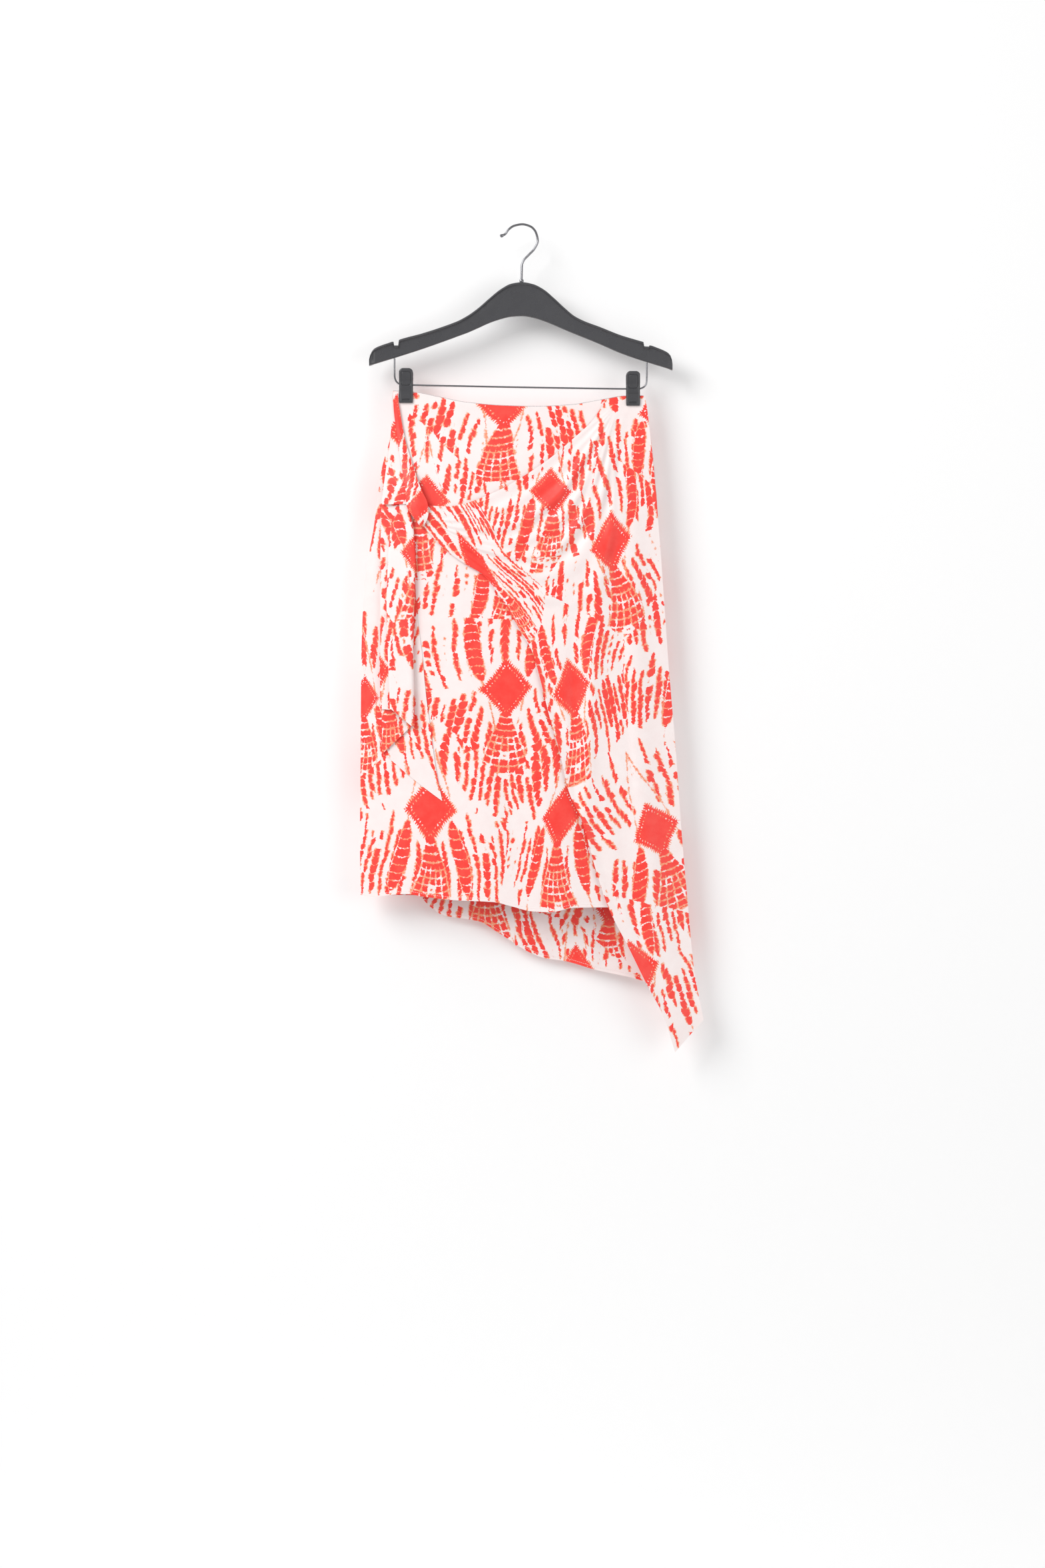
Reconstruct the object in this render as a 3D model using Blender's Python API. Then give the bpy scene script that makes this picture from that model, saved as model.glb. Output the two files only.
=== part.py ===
"""A wrap skirt of printed silk, hung by two clips from a moulded hanger.

Sizes are in millimetres until the meshes are made. X runs to the viewer's right, Z up, and the front of
the skirt looks towards -Y. The origin is the inner top of the hook. Every panel of cloth is a grid whose
depth is worked out from the sizes below, and the layers are stacked outwards from the plane Y = 0.
"""
import math
from collections import namedtuple

import bpy
import numpy as np

MM = 0.001
WALL = 1.1             # cloth wall
AIR = 0.3              # air between two pieces that lie together
CENTRE_SEAM_X = -0.5   # the centre-back seam

Side = namedtuple("Side", "level left right")
SIDES = (
    Side(-234.0, -183.0, 171.0),
    Side(-262.0, -184.8, 174.5),
    Side(-290.0, -185.6, 180.5),
    Side(-345.0, -199.0, 187.3),
    Side(-425.0, -210.0, 193.2),
    Side(-510.0, -223.8, 199.5),
    Side(-625.0, -228.3, 207.6),
    Side(-750.0, -229.0, 218.0),
    Side(-862.0, -230.0, 226.0),
    Side(-950.0, -229.4, 233.6),
    Side(-1055.0, -229.0, 243.6),
    Side(-1126.0, -229.0, 257.0),
)

Edge = namedtuple("Edge", "x level")
WAIST = (
    Edge(-183.0, -234.8), Edge(-154.5, -236.7), Edge(-120.5, -243.3), Edge(-80.0, -251.5),
    Edge(-30.0, -256.1), Edge(20.0, -257.5), Edge(67.6, -255.2), Edge(114.8, -247.3),
    Edge(146.0, -242.2), Edge(171.0, -242.0),
)
FRONT_HEM = (
    Edge(-228.0, -949.0), Edge(-210.0, -952.2), Edge(-186.6, -949.0), Edge(-163.0, -947.6),
    Edge(-139.0, -951.2), Edge(-98.8, -955.9), Edge(-41.0, -958.6), Edge(-13.7, -965.0),
    Edge(13.0, -971.6), Edge(40.0, -972.9), Edge(73.0, -966.6), Edge(121.0, -966.2), Edge(233.0, -966.0),
)
BACK_HEM = (
    Edge(-229.0, -949.4), Edge(-149.0, -950.4), Edge(-132.0, -966.0), Edge(-112.0, -979.2),
    Edge(-61.0, -988.0), Edge(-34.5, -1003.8), Edge(14.6, -1034.0), Edge(34.0, -1040.8),
    Edge(62.0, -1044.8), Edge(105.0, -1057.0), Edge(171.5, -1072.2), Edge(252.0, -1121.0),
)

Depth = namedtuple("Depth", "level front back")
DEPTHS = (
    Depth(-234.0, 0.0, 0.0), Depth(-276.0, 0.0, 0.0), Depth(-335.0, 6.5, 6.0), Depth(-430.0, 13.0, 12.0),
    Depth(-600.0, 16.0, 15.0), Depth(-900.0, 18.0, 18.0), Depth(-1180.0, 19.0, 21.0),
)
LENS_POWER = 2.6       # how flat the middle of a section is
WAIST_SAG = 5.0        # the waist edge leaves the plane by this much between the clips
WAIST_MIDDLE = -4.0
WAIST_HALF = 150.0

Fold = namedtuple("Fold", "x_top z_top x_low z_low height width")
FRONT_FOLDS = (
    Fold(-66.0, -560.0, -40.0, -970.0, 2.4, 30.0), Fold(-146.0, -780.0, -152.0, -960.0, 3.0, 26.0),
    Fold(-205.0, -600.0, -205.0, -960.0, 1.8, 18.0), Fold(30.0, -700.0, 45.0, -970.0, 2.6, 34.0),
)
BACK_FOLDS = (
    Fold(-160.0, -420.0, -172.0, -950.0, 3.0, 26.0), Fold(-84.0, -520.0, -100.0, -980.0, 3.6, 24.0),
    Fold(-30.0, -620.0, -38.0, -1000.0, 2.4, 22.0), Fold(40.0, -480.0, 52.0, -1050.0, 3.6, 26.0),
    Fold(104.0, -560.0, 120.0, -1060.0, 2.8, 22.0), Fold(160.0, -440.0, 196.0, -1090.0, 3.4, 26.0),
)
OVER_FOLDS = (
    Fold(116.0, -400.0, 92.0, -760.0, 3.4, 15.0), Fold(92.0, -720.0, 176.0, -1130.0, 2.8, 16.0),
    Fold(152.0, -380.0, 176.0, -900.0, 3.0, 17.0), Fold(178.0, -840.0, 222.0, -1150.0, 2.4, 15.0),
    Fold(34.0, -560.0, 104.0, -900.0, 2.0, 13.0),
)
FOLD_FADE = 90.0       # length over which a fold grows from nothing

KNOT = np.array([-135.6, -419.0])     # where the swags gather
APEX = np.array([146.0, -247.0])      # the right end of the waist, where they hang from
Swag = namedtuple("Swag", "sag height width")
SWAGS = (
    Swag(110.0, 1.6, 42.0), Swag(240.0, 2.4, 44.0), Swag(385.0, 4.4, 56.0), Swag(540.0, 4.0, 52.0),
    Swag(690.0, 4.6, 56.0), Swag(870.0, 3.8, 70.0), Swag(1100.0, 2.8, 84.0),
)

Point = namedtuple("Point", "x level")
OVER_TOP = (
    Point(-144.0, -393.0), Point(-131.0, -398.4), Point(-105.0, -399.6), Point(-84.0, -396.6),
    Point(-68.0, -391.6), Point(-31.0, -376.0), Point(2.4, -356.7), Point(34.5, -335.0),
    Point(71.4, -303.8), Point(99.7, -276.4), Point(119.0, -247.2),
)
OVER_LEFT = (
    Point(-144.0, -393.0), Point(-144.4, -410.0), Point(-144.0, -425.6), Point(-135.6, -433.0),
    Point(-120.0, -450.3), Point(-89.3, -475.8), Point(-54.3, -497.5), Point(-37.0, -519.0),
    Point(-1.4, -577.8), Point(15.6, -609.0), Point(25.0, -643.0), Point(39.2, -699.8),
    Point(52.0, -743.2), Point(65.7, -802.8), Point(83.6, -842.5), Point(103.5, -912.4),
    Point(121.4, -966.3), Point(150.7, -1023.9), Point(175.3, -1074.0), Point(198.9, -1118.4),
    Point(216.0, -1171.0),
)
OVER_RIGHT = (
    Point(119.0, -247.2), Point(146.0, -242.2), Point(171.0, -242.0), Point(180.5, -290.0),
    Point(193.2, -425.0), Point(207.6, -625.0), Point(218.0, -750.0), Point(226.0, -862.0),
    Point(233.6, -950.0), Point(243.6, -1055.0), Point(257.0, -1126.0),
)
Pair = namedtuple("Pair", "row left right")
OVER_ROWS = (
    Pair(0.00, 0.000, 0.000), Pair(0.12, 0.010, 0.070), Pair(0.42, 0.036, 0.370), Pair(0.53, 0.096, 0.446),
    Pair(0.60, 0.164, 0.494), Pair(0.80, 0.520, 0.750), Pair(1.00, 1.000, 1.000),
)
OVER_GRID = (36, 33)
OVER_LIFT = 1.4        # how far the wrap stands off the panel below, away from its seam
EDGE_ROLL = 2.2        # the free edge rolls forward by this much
EDGE_WIDTH = 11.0
BUNDLE = 3.6           # height of the gathers inside the knot

Strip = namedtuple("Strip", "level left right offset")
TAB = (
    Strip(-237.0, -183.0, -177.0, 0.3), Strip(-262.0, -184.4, -176.0, 0.3), Strip(-300.0, -186.6, -172.0, 0.3),
    Strip(-345.0, -193.0, -167.0, 0.3), Strip(-362.0, -195.0, -164.0, 3.8), Strip(-378.0, -197.0, -162.5, 8.0),
    Strip(-396.6, -199.3, -160.5, 8.0),
)
BAND = (
    Strip(-237.0, -183.0, -175.4, 1.8), Strip(-252.0, -182.6, -175.2, 1.8), Strip(-262.0, -182.0, -173.5, 1.8),
    Strip(-285.0, -179.2, -169.6, 1.8), Strip(-308.0, -176.2, -164.9, 1.8), Strip(-338.0, -171.5, -155.5, 1.9),
    Strip(-352.0, -169.0, -151.0, 3.4), Strip(-364.0, -167.0, -147.0, 6.6), Strip(-378.0, -165.0, -141.5, 9.8),
    Strip(-397.0, -163.8, -133.5, 9.8), Strip(-410.0, -158.0, -132.4, 9.6), Strip(-419.0, -150.8, -134.4, 8.8),
    Strip(-425.0, -146.6, -137.6, 7.0), Strip(-428.6, -144.0, -140.4, 5.2),
)
BAND_DOME = 1.8

Drop = namedtuple("Drop", "level strip tuck lip fall back free")
TAIL = (
    Drop(-384.0, -197.5, -167.7, -173.6, -162.5, -196.0, -161.8),
    Drop(-403.0, -199.4, -166.8, -173.4, -160.0, -197.0, -160.0),
    Drop(-421.0, -199.9, -174.7, -183.2, -155.5, -197.6, -156.0),
    Drop(-441.0, -200.3, -178.6, -187.1, -152.6, -198.0, -154.0),
    Drop(-475.0, -200.8, -181.0, -189.5, -150.7, -198.2, -152.4),
    Drop(-538.0, -200.8, -182.9, -191.4, -152.6, -198.4, -149.8),
    Drop(-610.0, -200.8, -181.0, -189.5, -153.6, -198.5, -141.3),
    Drop(-669.0, -200.8, -179.0, -187.0, -152.6, -198.5, -135.6),
    Drop(-710.0, -200.6, -178.0, -186.0, -152.0, -198.2, -130.0),
    Drop(-762.0, -200.4, -177.0, -185.4, -151.4, -197.6, -123.3),
    Drop(-816.0, -200.0, -176.0, -185.0, -151.0, -197.0, -112.9),
)
TAIL_HEM = Drop(0.0, -685.6, -688.4, -686.5, -710.2, -748.0, -816.0)
TAIL_ORDER = (2, 1, 0, 3, 4)          # each layer's place, counted back from the foremost
TAIL_TOP = -383.0
TAIL_STEP_TOP = 1.5                   # spacing of the layers
TAIL_STEP_LOW = 3.0
TAIL_GAP = 0.4

ArmRing = namedtuple("ArmRing", "x top low half")
ARMS = (
    ArmRing(-216.9, -190.0, -198.8, 6.0), ArmRing(-215.6, -184.4, -198.4, 6.0), ArmRing(-212.6, -178.4, -197.4, 6.0),
    ArmRing(-210.0, -175.4, -196.6, 3.6), ArmRing(-202.0, -171.4, -194.2, 3.6), ArmRing(-191.0, -167.6, -190.8, 3.6),
    ArmRing(-182.4, -165.2, -188.2, 3.6), ArmRing(-181.4, -170.6, -187.9, 3.6), ArmRing(-175.6, -170.6, -186.1, 3.6),
    ArmRing(-174.6, -162.8, -185.7, 3.6), ArmRing(-171.0, -161.4, -184.6, 3.6), ArmRing(-142.0, -153.6, -175.2, 3.6),
    ArmRing(-104.0, -141.0, -161.8, 3.6), ArmRing(-90.0, -135.4, -156.6, 3.6), ArmRing(-76.0, -127.6, -151.4, 3.6),
    ArmRing(-62.0, -117.4, -145.2, 3.6), ArmRing(-46.0, -103.4, -138.0, 3.6), ArmRing(-30.0, -90.6, -132.6, 3.6),
    ArmRing(-15.0, -83.0, -129.2, 3.6), ArmRing(0.0, -81.0, -128.4, 3.6), ArmRing(15.0, -83.6, -130.6, 3.6),
    ArmRing(30.0, -91.0, -135.2, 3.6), ArmRing(46.0, -104.4, -141.6, 3.6), ArmRing(60.0, -117.4, -147.8, 3.6),
    ArmRing(74.0, -129.0, -153.6, 3.6), ArmRing(90.0, -137.0, -160.0, 3.6), ArmRing(108.0, -143.6, -167.4, 3.6),
    ArmRing(140.0, -156.2, -181.2, 3.6), ArmRing(168.0, -164.6, -191.0, 3.6), ArmRing(171.8, -165.8, -192.2, 3.6),
    ArmRing(172.8, -171.8, -192.5, 3.6), ArmRing(179.4, -172.2, -194.5, 3.6), ArmRing(180.4, -170.4, -194.8, 3.6),
    ArmRing(190.0, -173.4, -197.8, 3.6), ArmRing(202.0, -178.4, -201.4, 3.6), ArmRing(207.0, -181.4, -203.0, 3.6),
    ArmRing(210.0, -185.0, -204.0, 6.0), ArmRing(212.0, -190.4, -204.8, 6.0), ArmRing(212.8, -197.0, -205.2, 6.0),
)
FLANGE = 6.0           # half depth of the lip along the top of the hanger
LIP = 3.4              # height of that lip

Wire = namedtuple("Wire", "x z radius")
HOOK = (
    Wire(-31.4, -15.4, 0.9), Wire(-30.6, -15.0, 2.3), Wire(-28.6, -14.4, 2.5), Wire(-26.8, -13.6, 1.8),
    Wire(-24.4, -12.4, 1.65), Wire(-19.6, -6.0, 1.65), Wire(-11.4, -0.4, 1.65), Wire(0.0, 1.7, 1.65),
    Wire(11.8, -1.4, 1.65), Wire(19.4, -9.9, 1.65), Wire(22.0, -21.7, 1.65), Wire(17.5, -32.6, 1.65),
    Wire(8.2, -42.7, 1.65), Wire(2.0, -49.6, 1.65), Wire(-0.5, -57.0, 1.65), Wire(-0.9, -76.0, 1.65),
    Wire(-0.9, -77.0, 2.9), Wire(-0.9, -79.6, 3.1), Wire(-0.9, -80.6, 2.6),
)
ROD = (
    Wire(-181.0, -188.4, 1.25), Wire(-181.0, -200.0, 1.25), Wire(-181.0, -213.0, 1.25), Wire(-179.0, -220.6, 1.25),
    Wire(-173.4, -225.0, 1.25), Wire(-164.0, -226.0, 1.25), Wire(-84.0, -227.8, 1.25), Wire(-4.0, -229.4, 1.25),
    Wire(70.0, -230.6, 1.25), Wire(146.0, -231.7, 1.25), Wire(164.0, -231.8, 1.25), Wire(172.0, -229.4, 1.25),
    Wire(176.2, -223.0, 1.25), Wire(176.7, -214.0, 1.25), Wire(176.7, -205.0, 1.25), Wire(176.7, -194.3, 1.25),
)

Jaw = namedtuple("Jaw", "level half inner thick")
JAW = (
    Jaw(0.0, 5.4, 7.4, 1.6), Jaw(-1.4, 8.0, 6.9, 2.6), Jaw(-4.6, 9.8, 6.2, 3.2), Jaw(-15.0, 9.9, 4.0, 3.6),
    Jaw(-19.5, 9.9, 1.55, 5.2), Jaw(-28.0, 9.9, 1.55, 4.6), Jaw(-30.5, 9.9, 1.55, 4.2), Jaw(-32.4, 9.9, 1.55, 4.0),
    Jaw(-44.0, 9.9, 1.55, 3.4),
    Jaw(-47.0, 9.7, 1.6, 3.1), Jaw(-48.4, 9.2, 1.9, 2.2),
)
CLIP_LEFT = Point(-164.7, -203.4)
CLIP_RIGHT = Point(157.1, -207.6)
RIGHT_GRIP = 3.0      # the front jaw of the right clip stands off by one more layer

COLOURS = {
    "silk": (0.93, 0.82, 0.80, 1.0),
    "silk_wrap": (0.93, 0.72, 0.70, 1.0),
    "silk_tail": (0.95, 0.88, 0.84, 1.0),
    "plastic": (0.03, 0.03, 0.034, 1.0),
    "steel": (0.72, 0.72, 0.74, 1.0),
}


def material(name, colour, metallic, roughness):
    """One Principled material of an even colour."""
    made = bpy.data.materials.new(name)
    made.use_nodes = True
    shader = made.node_tree.nodes["Principled BSDF"]
    shader.inputs["Base Color"].default_value = COLOURS[colour]
    shader.inputs["Metallic"].default_value = metallic
    shader.inputs["Roughness"].default_value = roughness
    return made


def add_solid(name, points, faces, made):
    """Make an object from points in millimetres, its faces turned outwards."""
    points = np.asarray(points, dtype=float) * MM
    volume = 0.0
    for face in faces:
        for k in range(1, len(face) - 1):
            a, b, c = points[face[0]], points[face[k]], points[face[k + 1]]
            volume += float(np.dot(a, np.cross(b, c)))
    if volume < 0.0:
        faces = [tuple(reversed(face)) for face in faces]
    mesh = bpy.data.meshes.new(name)
    mesh.from_pydata(points.tolist(), [], faces)
    mesh.materials.append(made)
    mesh.update()
    thing = bpy.data.objects.new(name, mesh)
    bpy.context.scene.collection.objects.link(thing)
    return thing


def sheet_solid(name, near, far, made):
    """Close two grids of points, one for each face of a cloth, into a solid wall.

    Both faces are cut along the same diagonals, so that the wall keeps its thickness.
    """
    rows, cols = near.shape[:2]
    points = np.concatenate([near.reshape(-1, 3), far.reshape(-1, 3)])
    base = rows * cols

    def at(side, i, j):
        return side * base + i * cols + j

    falling = np.linalg.norm(near[1:, 1:] - near[:-1, :-1], axis=-1)
    rising = np.linalg.norm(near[1:, :-1] - near[:-1, 1:], axis=-1)
    faces = []
    for i in range(rows - 1):
        for j in range(cols - 1):
            a, b, c, d = (i, j), (i, j + 1), (i + 1, j + 1), (i + 1, j)
            halves = ((a, b, c), (a, c, d)) if falling[i, j] <= rising[i, j] else ((a, b, d), (b, c, d))
            for half in halves:
                faces.append(tuple(at(0, *corner) for corner in half))
                faces.append(tuple(at(1, *corner) for corner in reversed(half)))
    for i in range(rows - 1):
        faces.append((at(0, i, 0), at(0, i + 1, 0), at(1, i + 1, 0), at(1, i, 0)))
        last = cols - 1
        faces.append((at(0, i, last), at(1, i, last), at(1, i + 1, last), at(0, i + 1, last)))
    for j in range(cols - 1):
        faces.append((at(0, 0, j), at(1, 0, j), at(1, 0, j + 1), at(0, 0, j + 1)))
        last = rows - 1
        faces.append((at(0, last, j), at(0, last, j + 1), at(1, last, j + 1), at(1, last, j)))
    return add_solid(name, points, faces, made)


def ring_solid(name, rings, made):
    """Join rings of equal length into a tube, closed flat at both ends."""
    count, around = rings.shape[:2]
    faces = []
    for i in range(count - 1):
        for j in range(around):
            k = (j + 1) % around
            faces.append((i * around + j, i * around + k, (i + 1) * around + k, (i + 1) * around + j))
    faces.append(tuple(range(around - 1, -1, -1)))
    faces.append(tuple((count - 1) * around + j for j in range(around)))
    return add_solid(name, rings.reshape(-1, 3), faces, made)


def hermite(xs, ys, query):
    """A smooth curve through the knots that never swings past them, held at its ends outside them."""
    xs = np.asarray(xs, dtype=float)
    ys = np.asarray(ys, dtype=float)
    if xs[0] > xs[-1]:
        xs, ys = xs[::-1], ys[::-1]
    steps = np.diff(ys) / np.diff(xs)
    product = steps[1:] * steps[:-1]
    total = np.where(product > 0.0, steps[1:] + steps[:-1], 1.0)
    inner = np.where(product > 0.0, 2.0 * product / total, 0.0)
    slopes = np.concatenate([[steps[0]], inner, [steps[-1]]])
    query = np.clip(query, xs[0], xs[-1])
    k = np.clip(np.searchsorted(xs, query) - 1, 0, len(xs) - 2)
    width = xs[k + 1] - xs[k]
    t = (query - xs[k]) / width
    low = ys[k] * (1 + 2 * t) * (1 - t) ** 2 + ys[k + 1] * t * t * (3 - 2 * t)
    return low + width * (slopes[k] * t * (1 - t) ** 2 - slopes[k + 1] * t * t * (1 - t))


def column(table, name):
    """One named column of a table."""
    return np.array([getattr(row, name) for row in table])


def look_up(table, key, value, query):
    """The smooth curve of one column of a table against another."""
    return hermite(column(table, key), column(table, value), query)


def ease(t):
    """Smooth step from 0 to 1."""
    t = np.clip(t, 0.0, 1.0)
    return t * t * (3.0 - 2.0 * t)


def across(x, z):
    """Place across the skirt, from -1 at the left side to 1 at the right side."""
    left = look_up(SIDES, "level", "left", z)
    right = look_up(SIDES, "level", "right", z)
    return np.clip((2.0 * x - left - right) / (right - left), -1.0, 1.0)


def fold_height(folds, x, z):
    """Height of long soft folds that start at a point and grow downwards."""
    total = np.zeros_like(x)
    for fold in folds:
        along = (z - fold.z_top) / (fold.z_low - fold.z_top)
        middle = fold.x_top + along * (fold.x_low - fold.x_top)
        grow = ease((fold.z_top - z) / FOLD_FADE)
        total += fold.height * grow * np.exp(-(((x - middle) / fold.width) ** 2))
    return total


def section(x, z, side):
    """Depth of the skirt's hollow on one side, from the plane of the hanger."""
    lens = 1.0 - np.abs(across(x, z)) ** LENS_POWER
    waist = look_up(WAIST, "x", "level", x)
    sag = WAIST_SAG * np.clip(1.0 - ((x - WAIST_MIDDLE) / WAIST_HALF) ** 2, 0.0, 1.0)
    sag *= 1.0 - ease((waist - z) / 150.0)
    return AIR / 2.0 + look_up(DEPTHS, "level", side, z) * lens + sag


def front_inner(x, z):
    """Depth of the inner face of the front panel."""
    rim = 1.0 - np.abs(across(x, z)) ** 8
    return section(x, z, "front") + rim * fold_height(FRONT_FOLDS, x, z)


def front_outer(x, z):
    """Depth of the outer face of the front panel."""
    return front_inner(x, z) + WALL


def back_inner(x, z):
    """Depth behind the hanger's plane of the inner face of the back."""
    rim = 1.0 - np.abs(across(x, z)) ** 8
    return section(x, z, "back") + rim * fold_height(BACK_FOLDS, x, z)


def swag_height(x, z):
    """Height of the swags that hang from the right end of the waist to the knot.

    Each swag leaves the straight line between its two ends by sag * t * (1 - t) ** 1.5.
    """
    span = APEX - KNOT
    length = float(np.hypot(span[0], span[1]))
    down = np.array([-span[1], span[0]]) / length
    down = down if down[1] < 0.0 else -down
    dx, dz = x - KNOT[0], z - KNOT[1]
    t = (dx * span[0] + dz * span[1]) / length ** 2
    leave = dx * down[0] + dz * down[1]
    inside = np.clip(t, 0.001, 0.999)
    weight = inside * (1.0 - inside) ** 1.5
    sag = leave / weight
    strength = np.clip(weight / 0.18, 0.0, 1.0) ** 0.7
    total = np.zeros_like(x)
    for swag in SWAGS:
        total += swag.height * np.exp(-(((sag - swag.sag) / swag.width) ** 2))
    return total * strength


def over_inner(x, z, from_edge):
    """Depth of the inner face of the wrap panel, which lies on the front panel."""
    right = look_up(SIDES, "level", "right", z)
    lift = OVER_LIFT * ease((right - x) / 90.0) * ease((-275.0 - z) / 110.0)
    folds = fold_height(OVER_FOLDS, x, z) * ease((right - x) / 26.0)
    roll = EDGE_ROLL * np.exp(-((from_edge / EDGE_WIDTH) ** 2)) * ease((-430.0 - z) / 60.0)
    knot = BUNDLE * np.exp(-(((x + 137.0) / 21.0) ** 2) - ((z + 411.0) / 15.0) ** 2)
    return front_outer(x, z) + AIR + lift + swag_height(x, z) * ease((right - x - 22.0) / 40.0) + folds + roll + knot


def place(x, depth, z, side):
    """Put depths on the front (-1) or the back (1) of the hanger's plane."""
    return np.stack([x, side * depth, z], axis=-1)


def hung_grid(share, rows, hem, start, end):
    """Points of a panel from the waist to its hem.

    share runs across from the curve start to the curve end, both functions of the level.
    """
    v = np.linspace(0.0, 1.0, rows)[:, None]
    low = np.full(share.shape, -960.0)
    top = np.full(share.shape, -245.0)
    for _ in range(12):
        x_low = start(low) + share * (end(low) - start(low))
        low = look_up(hem, "x", "level", x_low)
        x_top = start(top) + share * (end(top) - start(top))
        top = look_up(WAIST, "x", "level", x_top)
    z = top[None, :] + v * (low - top)[None, :]
    x = start(z) + share[None, :] * (end(z) - start(z))
    return x, z


def left_side(z):
    """The left side seam."""
    return look_up(SIDES, "level", "left", z)


def right_side(z):
    """The right side seam."""
    return look_up(SIDES, "level", "right", z)


def build_front_under(made):
    """The front panel below the wrap."""
    x, z = hung_grid(np.linspace(0.0, 1.0, 27), 26, FRONT_HEM, left_side, right_side)
    near = place(x, front_outer(x, z), z, -1.0)
    far = place(x, front_inner(x, z), z, -1.0)
    return sheet_solid("front_under", near, far, made)


def build_backs(made):
    """The two halves of the back, with air between them at the centre seam."""
    def seam_left(z):
        return np.full(np.shape(z), CENTRE_SEAM_X - AIR / 2.0)

    def seam_right(z):
        return np.full(np.shape(z), CENTRE_SEAM_X + AIR / 2.0)

    for name, start, end, count in (
        ("back_left", left_side, seam_left, 15), ("back_right", seam_right, right_side, 17),
    ):
        x, z = hung_grid(np.linspace(0.0, 1.0, count), 26, BACK_HEM, start, end)
        z = z + 1.6 * ease((z + 300.0) / 40.0) * np.clip(1.0 - (x / 130.0) ** 2, 0.0, 1.0)
        depth = back_inner(x, z)
        sheet_solid(name, place(x, depth + WALL, z, 1.0), place(x, depth, z, 1.0), made)


def along(points, share):
    """Points at even shares of the length of a smooth line through the given points."""
    xs, zs = column(points, "x"), column(points, "level")
    lengths = np.concatenate([[0.0], np.cumsum(np.hypot(np.diff(xs), np.diff(zs)))])
    lengths /= lengths[-1]
    return hermite(lengths, xs, share), hermite(lengths, zs, share)


def build_front_over(made):
    """The wrap panel: rows fan out from the knot to the right side."""
    rows, cols = OVER_GRID
    row = np.linspace(0.0, 1.0, rows)
    left_x, left_z = along(OVER_LEFT, hermite(column(OVER_ROWS, "row"), column(OVER_ROWS, "left"), row))
    right_x, right_z = along(OVER_RIGHT, hermite(column(OVER_ROWS, "row"), column(OVER_ROWS, "right"), row))
    t = np.linspace(0.0, 1.0, cols) ** 1.15
    x = left_x[:, None] + t[None, :] * (right_x - left_x)[:, None]
    z = left_z[:, None] + t[None, :] * (right_z - left_z)[:, None]
    top_x, top_z = along(OVER_TOP, t)
    blend = np.clip(1.0 - row / 0.6, 0.0, 1.0)[:, None]
    x += blend * (top_x - x[0])[None, :]
    z += blend * (top_z - z[0])[None, :]
    from_edge = np.hypot(x - x[:, :1], z - z[:, :1])
    depth = over_inner(x, z, from_edge)
    return sheet_solid("front_over", place(x, depth + WALL, z, -1.0), place(x, depth, z, -1.0), made)


def strip_grid(table, rows, cols):
    """Points of a strip that lies on the front panel, and its place across from -1 to 1."""
    z = np.linspace(table[0].level, table[-1].level, rows)[:, None]
    s = np.linspace(-1.0, 1.0, cols)[None, :]
    left = look_up(table, "level", "left", z)
    right = look_up(table, "level", "right", z)
    x = left + (s + 1.0) / 2.0 * (right - left)
    return x, z + 0.0 * x, s + 0.0 * x


def build_tab(made):
    """The flat tab at the left hip."""
    x, z, _ = strip_grid(TAB, 15, 6)
    depth = front_outer(x, z) + look_up(TAB, "level", "offset", z)
    return sheet_solid("hip_tab", place(x, depth + WALL, z, -1.0), place(x, depth, z, -1.0), made)


def build_band(made):
    """The band round the knot: domed across, with a crease along it."""
    x, z, s = strip_grid(BAND, 25, 9)
    dome = BAND_DOME * (1.0 - s * s) * (0.6 + 0.4 * np.cos(3.0 * s)) * ease((-250.0 - z) / 60.0)
    depth = front_outer(x, z) + look_up(BAND, "level", "offset", z) + dome
    return sheet_solid("knot_band", place(x, depth + WALL, z, -1.0), place(x, depth, z, -1.0), made)


def tail_columns():
    """The tail's section as a walk along its layers and round its folds.

    Each entry is (layer, share of the layer) or (layer, turn in radians, which way it bulges).
    """
    walk = []
    for layer in range(5):
        inner = (0.0, 0.34, 0.67, 1.0) if layer in (2, 4) else (0.0, 0.5, 1.0)
        walk += [("layer", layer, share) for share in inner]
        if layer < 4:
            walk += [("fold", layer, turn) for turn in (0.25 * math.pi, 0.5 * math.pi, 0.75 * math.pi)]
    return walk


def tail_point(entry, z):
    """Middle of the tail's wall for one entry of the walk, at the given levels."""
    kind, layer, share = entry
    step = TAIL_STEP_TOP + (TAIL_STEP_LOW - TAIL_STEP_TOP) * ease((TAIL_TOP - z) / 300.0)
    names = Drop._fields[1:]
    edges = [look_up(TAIL, "level", name, z) for name in names]
    height = [(4 - place_back) * step + TAIL_GAP + WALL / 2.0 for place_back in TAIL_ORDER]
    bulge = (1.0, -1.0, 1.0, -1.0)

    def centre(k):
        if k == 0:
            return edges[0]
        if k == 5:
            return edges[5]
        return edges[k] - bulge[k - 1] * np.abs(height[k] - height[k - 1]) / 2.0

    if kind == "layer":
        return centre(layer) + share * (centre(layer + 1) - centre(layer)), height[layer]
    radius = np.abs(height[layer + 1] - height[layer]) / 2.0
    middle = (height[layer] + height[layer + 1]) / 2.0
    sign = 1.0 if TAIL_ORDER[layer] < TAIL_ORDER[layer + 1] else -1.0
    x = centre(layer + 1) + bulge[layer] * radius * np.sin(share)
    return x, middle + sign * radius * np.cos(share)


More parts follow.
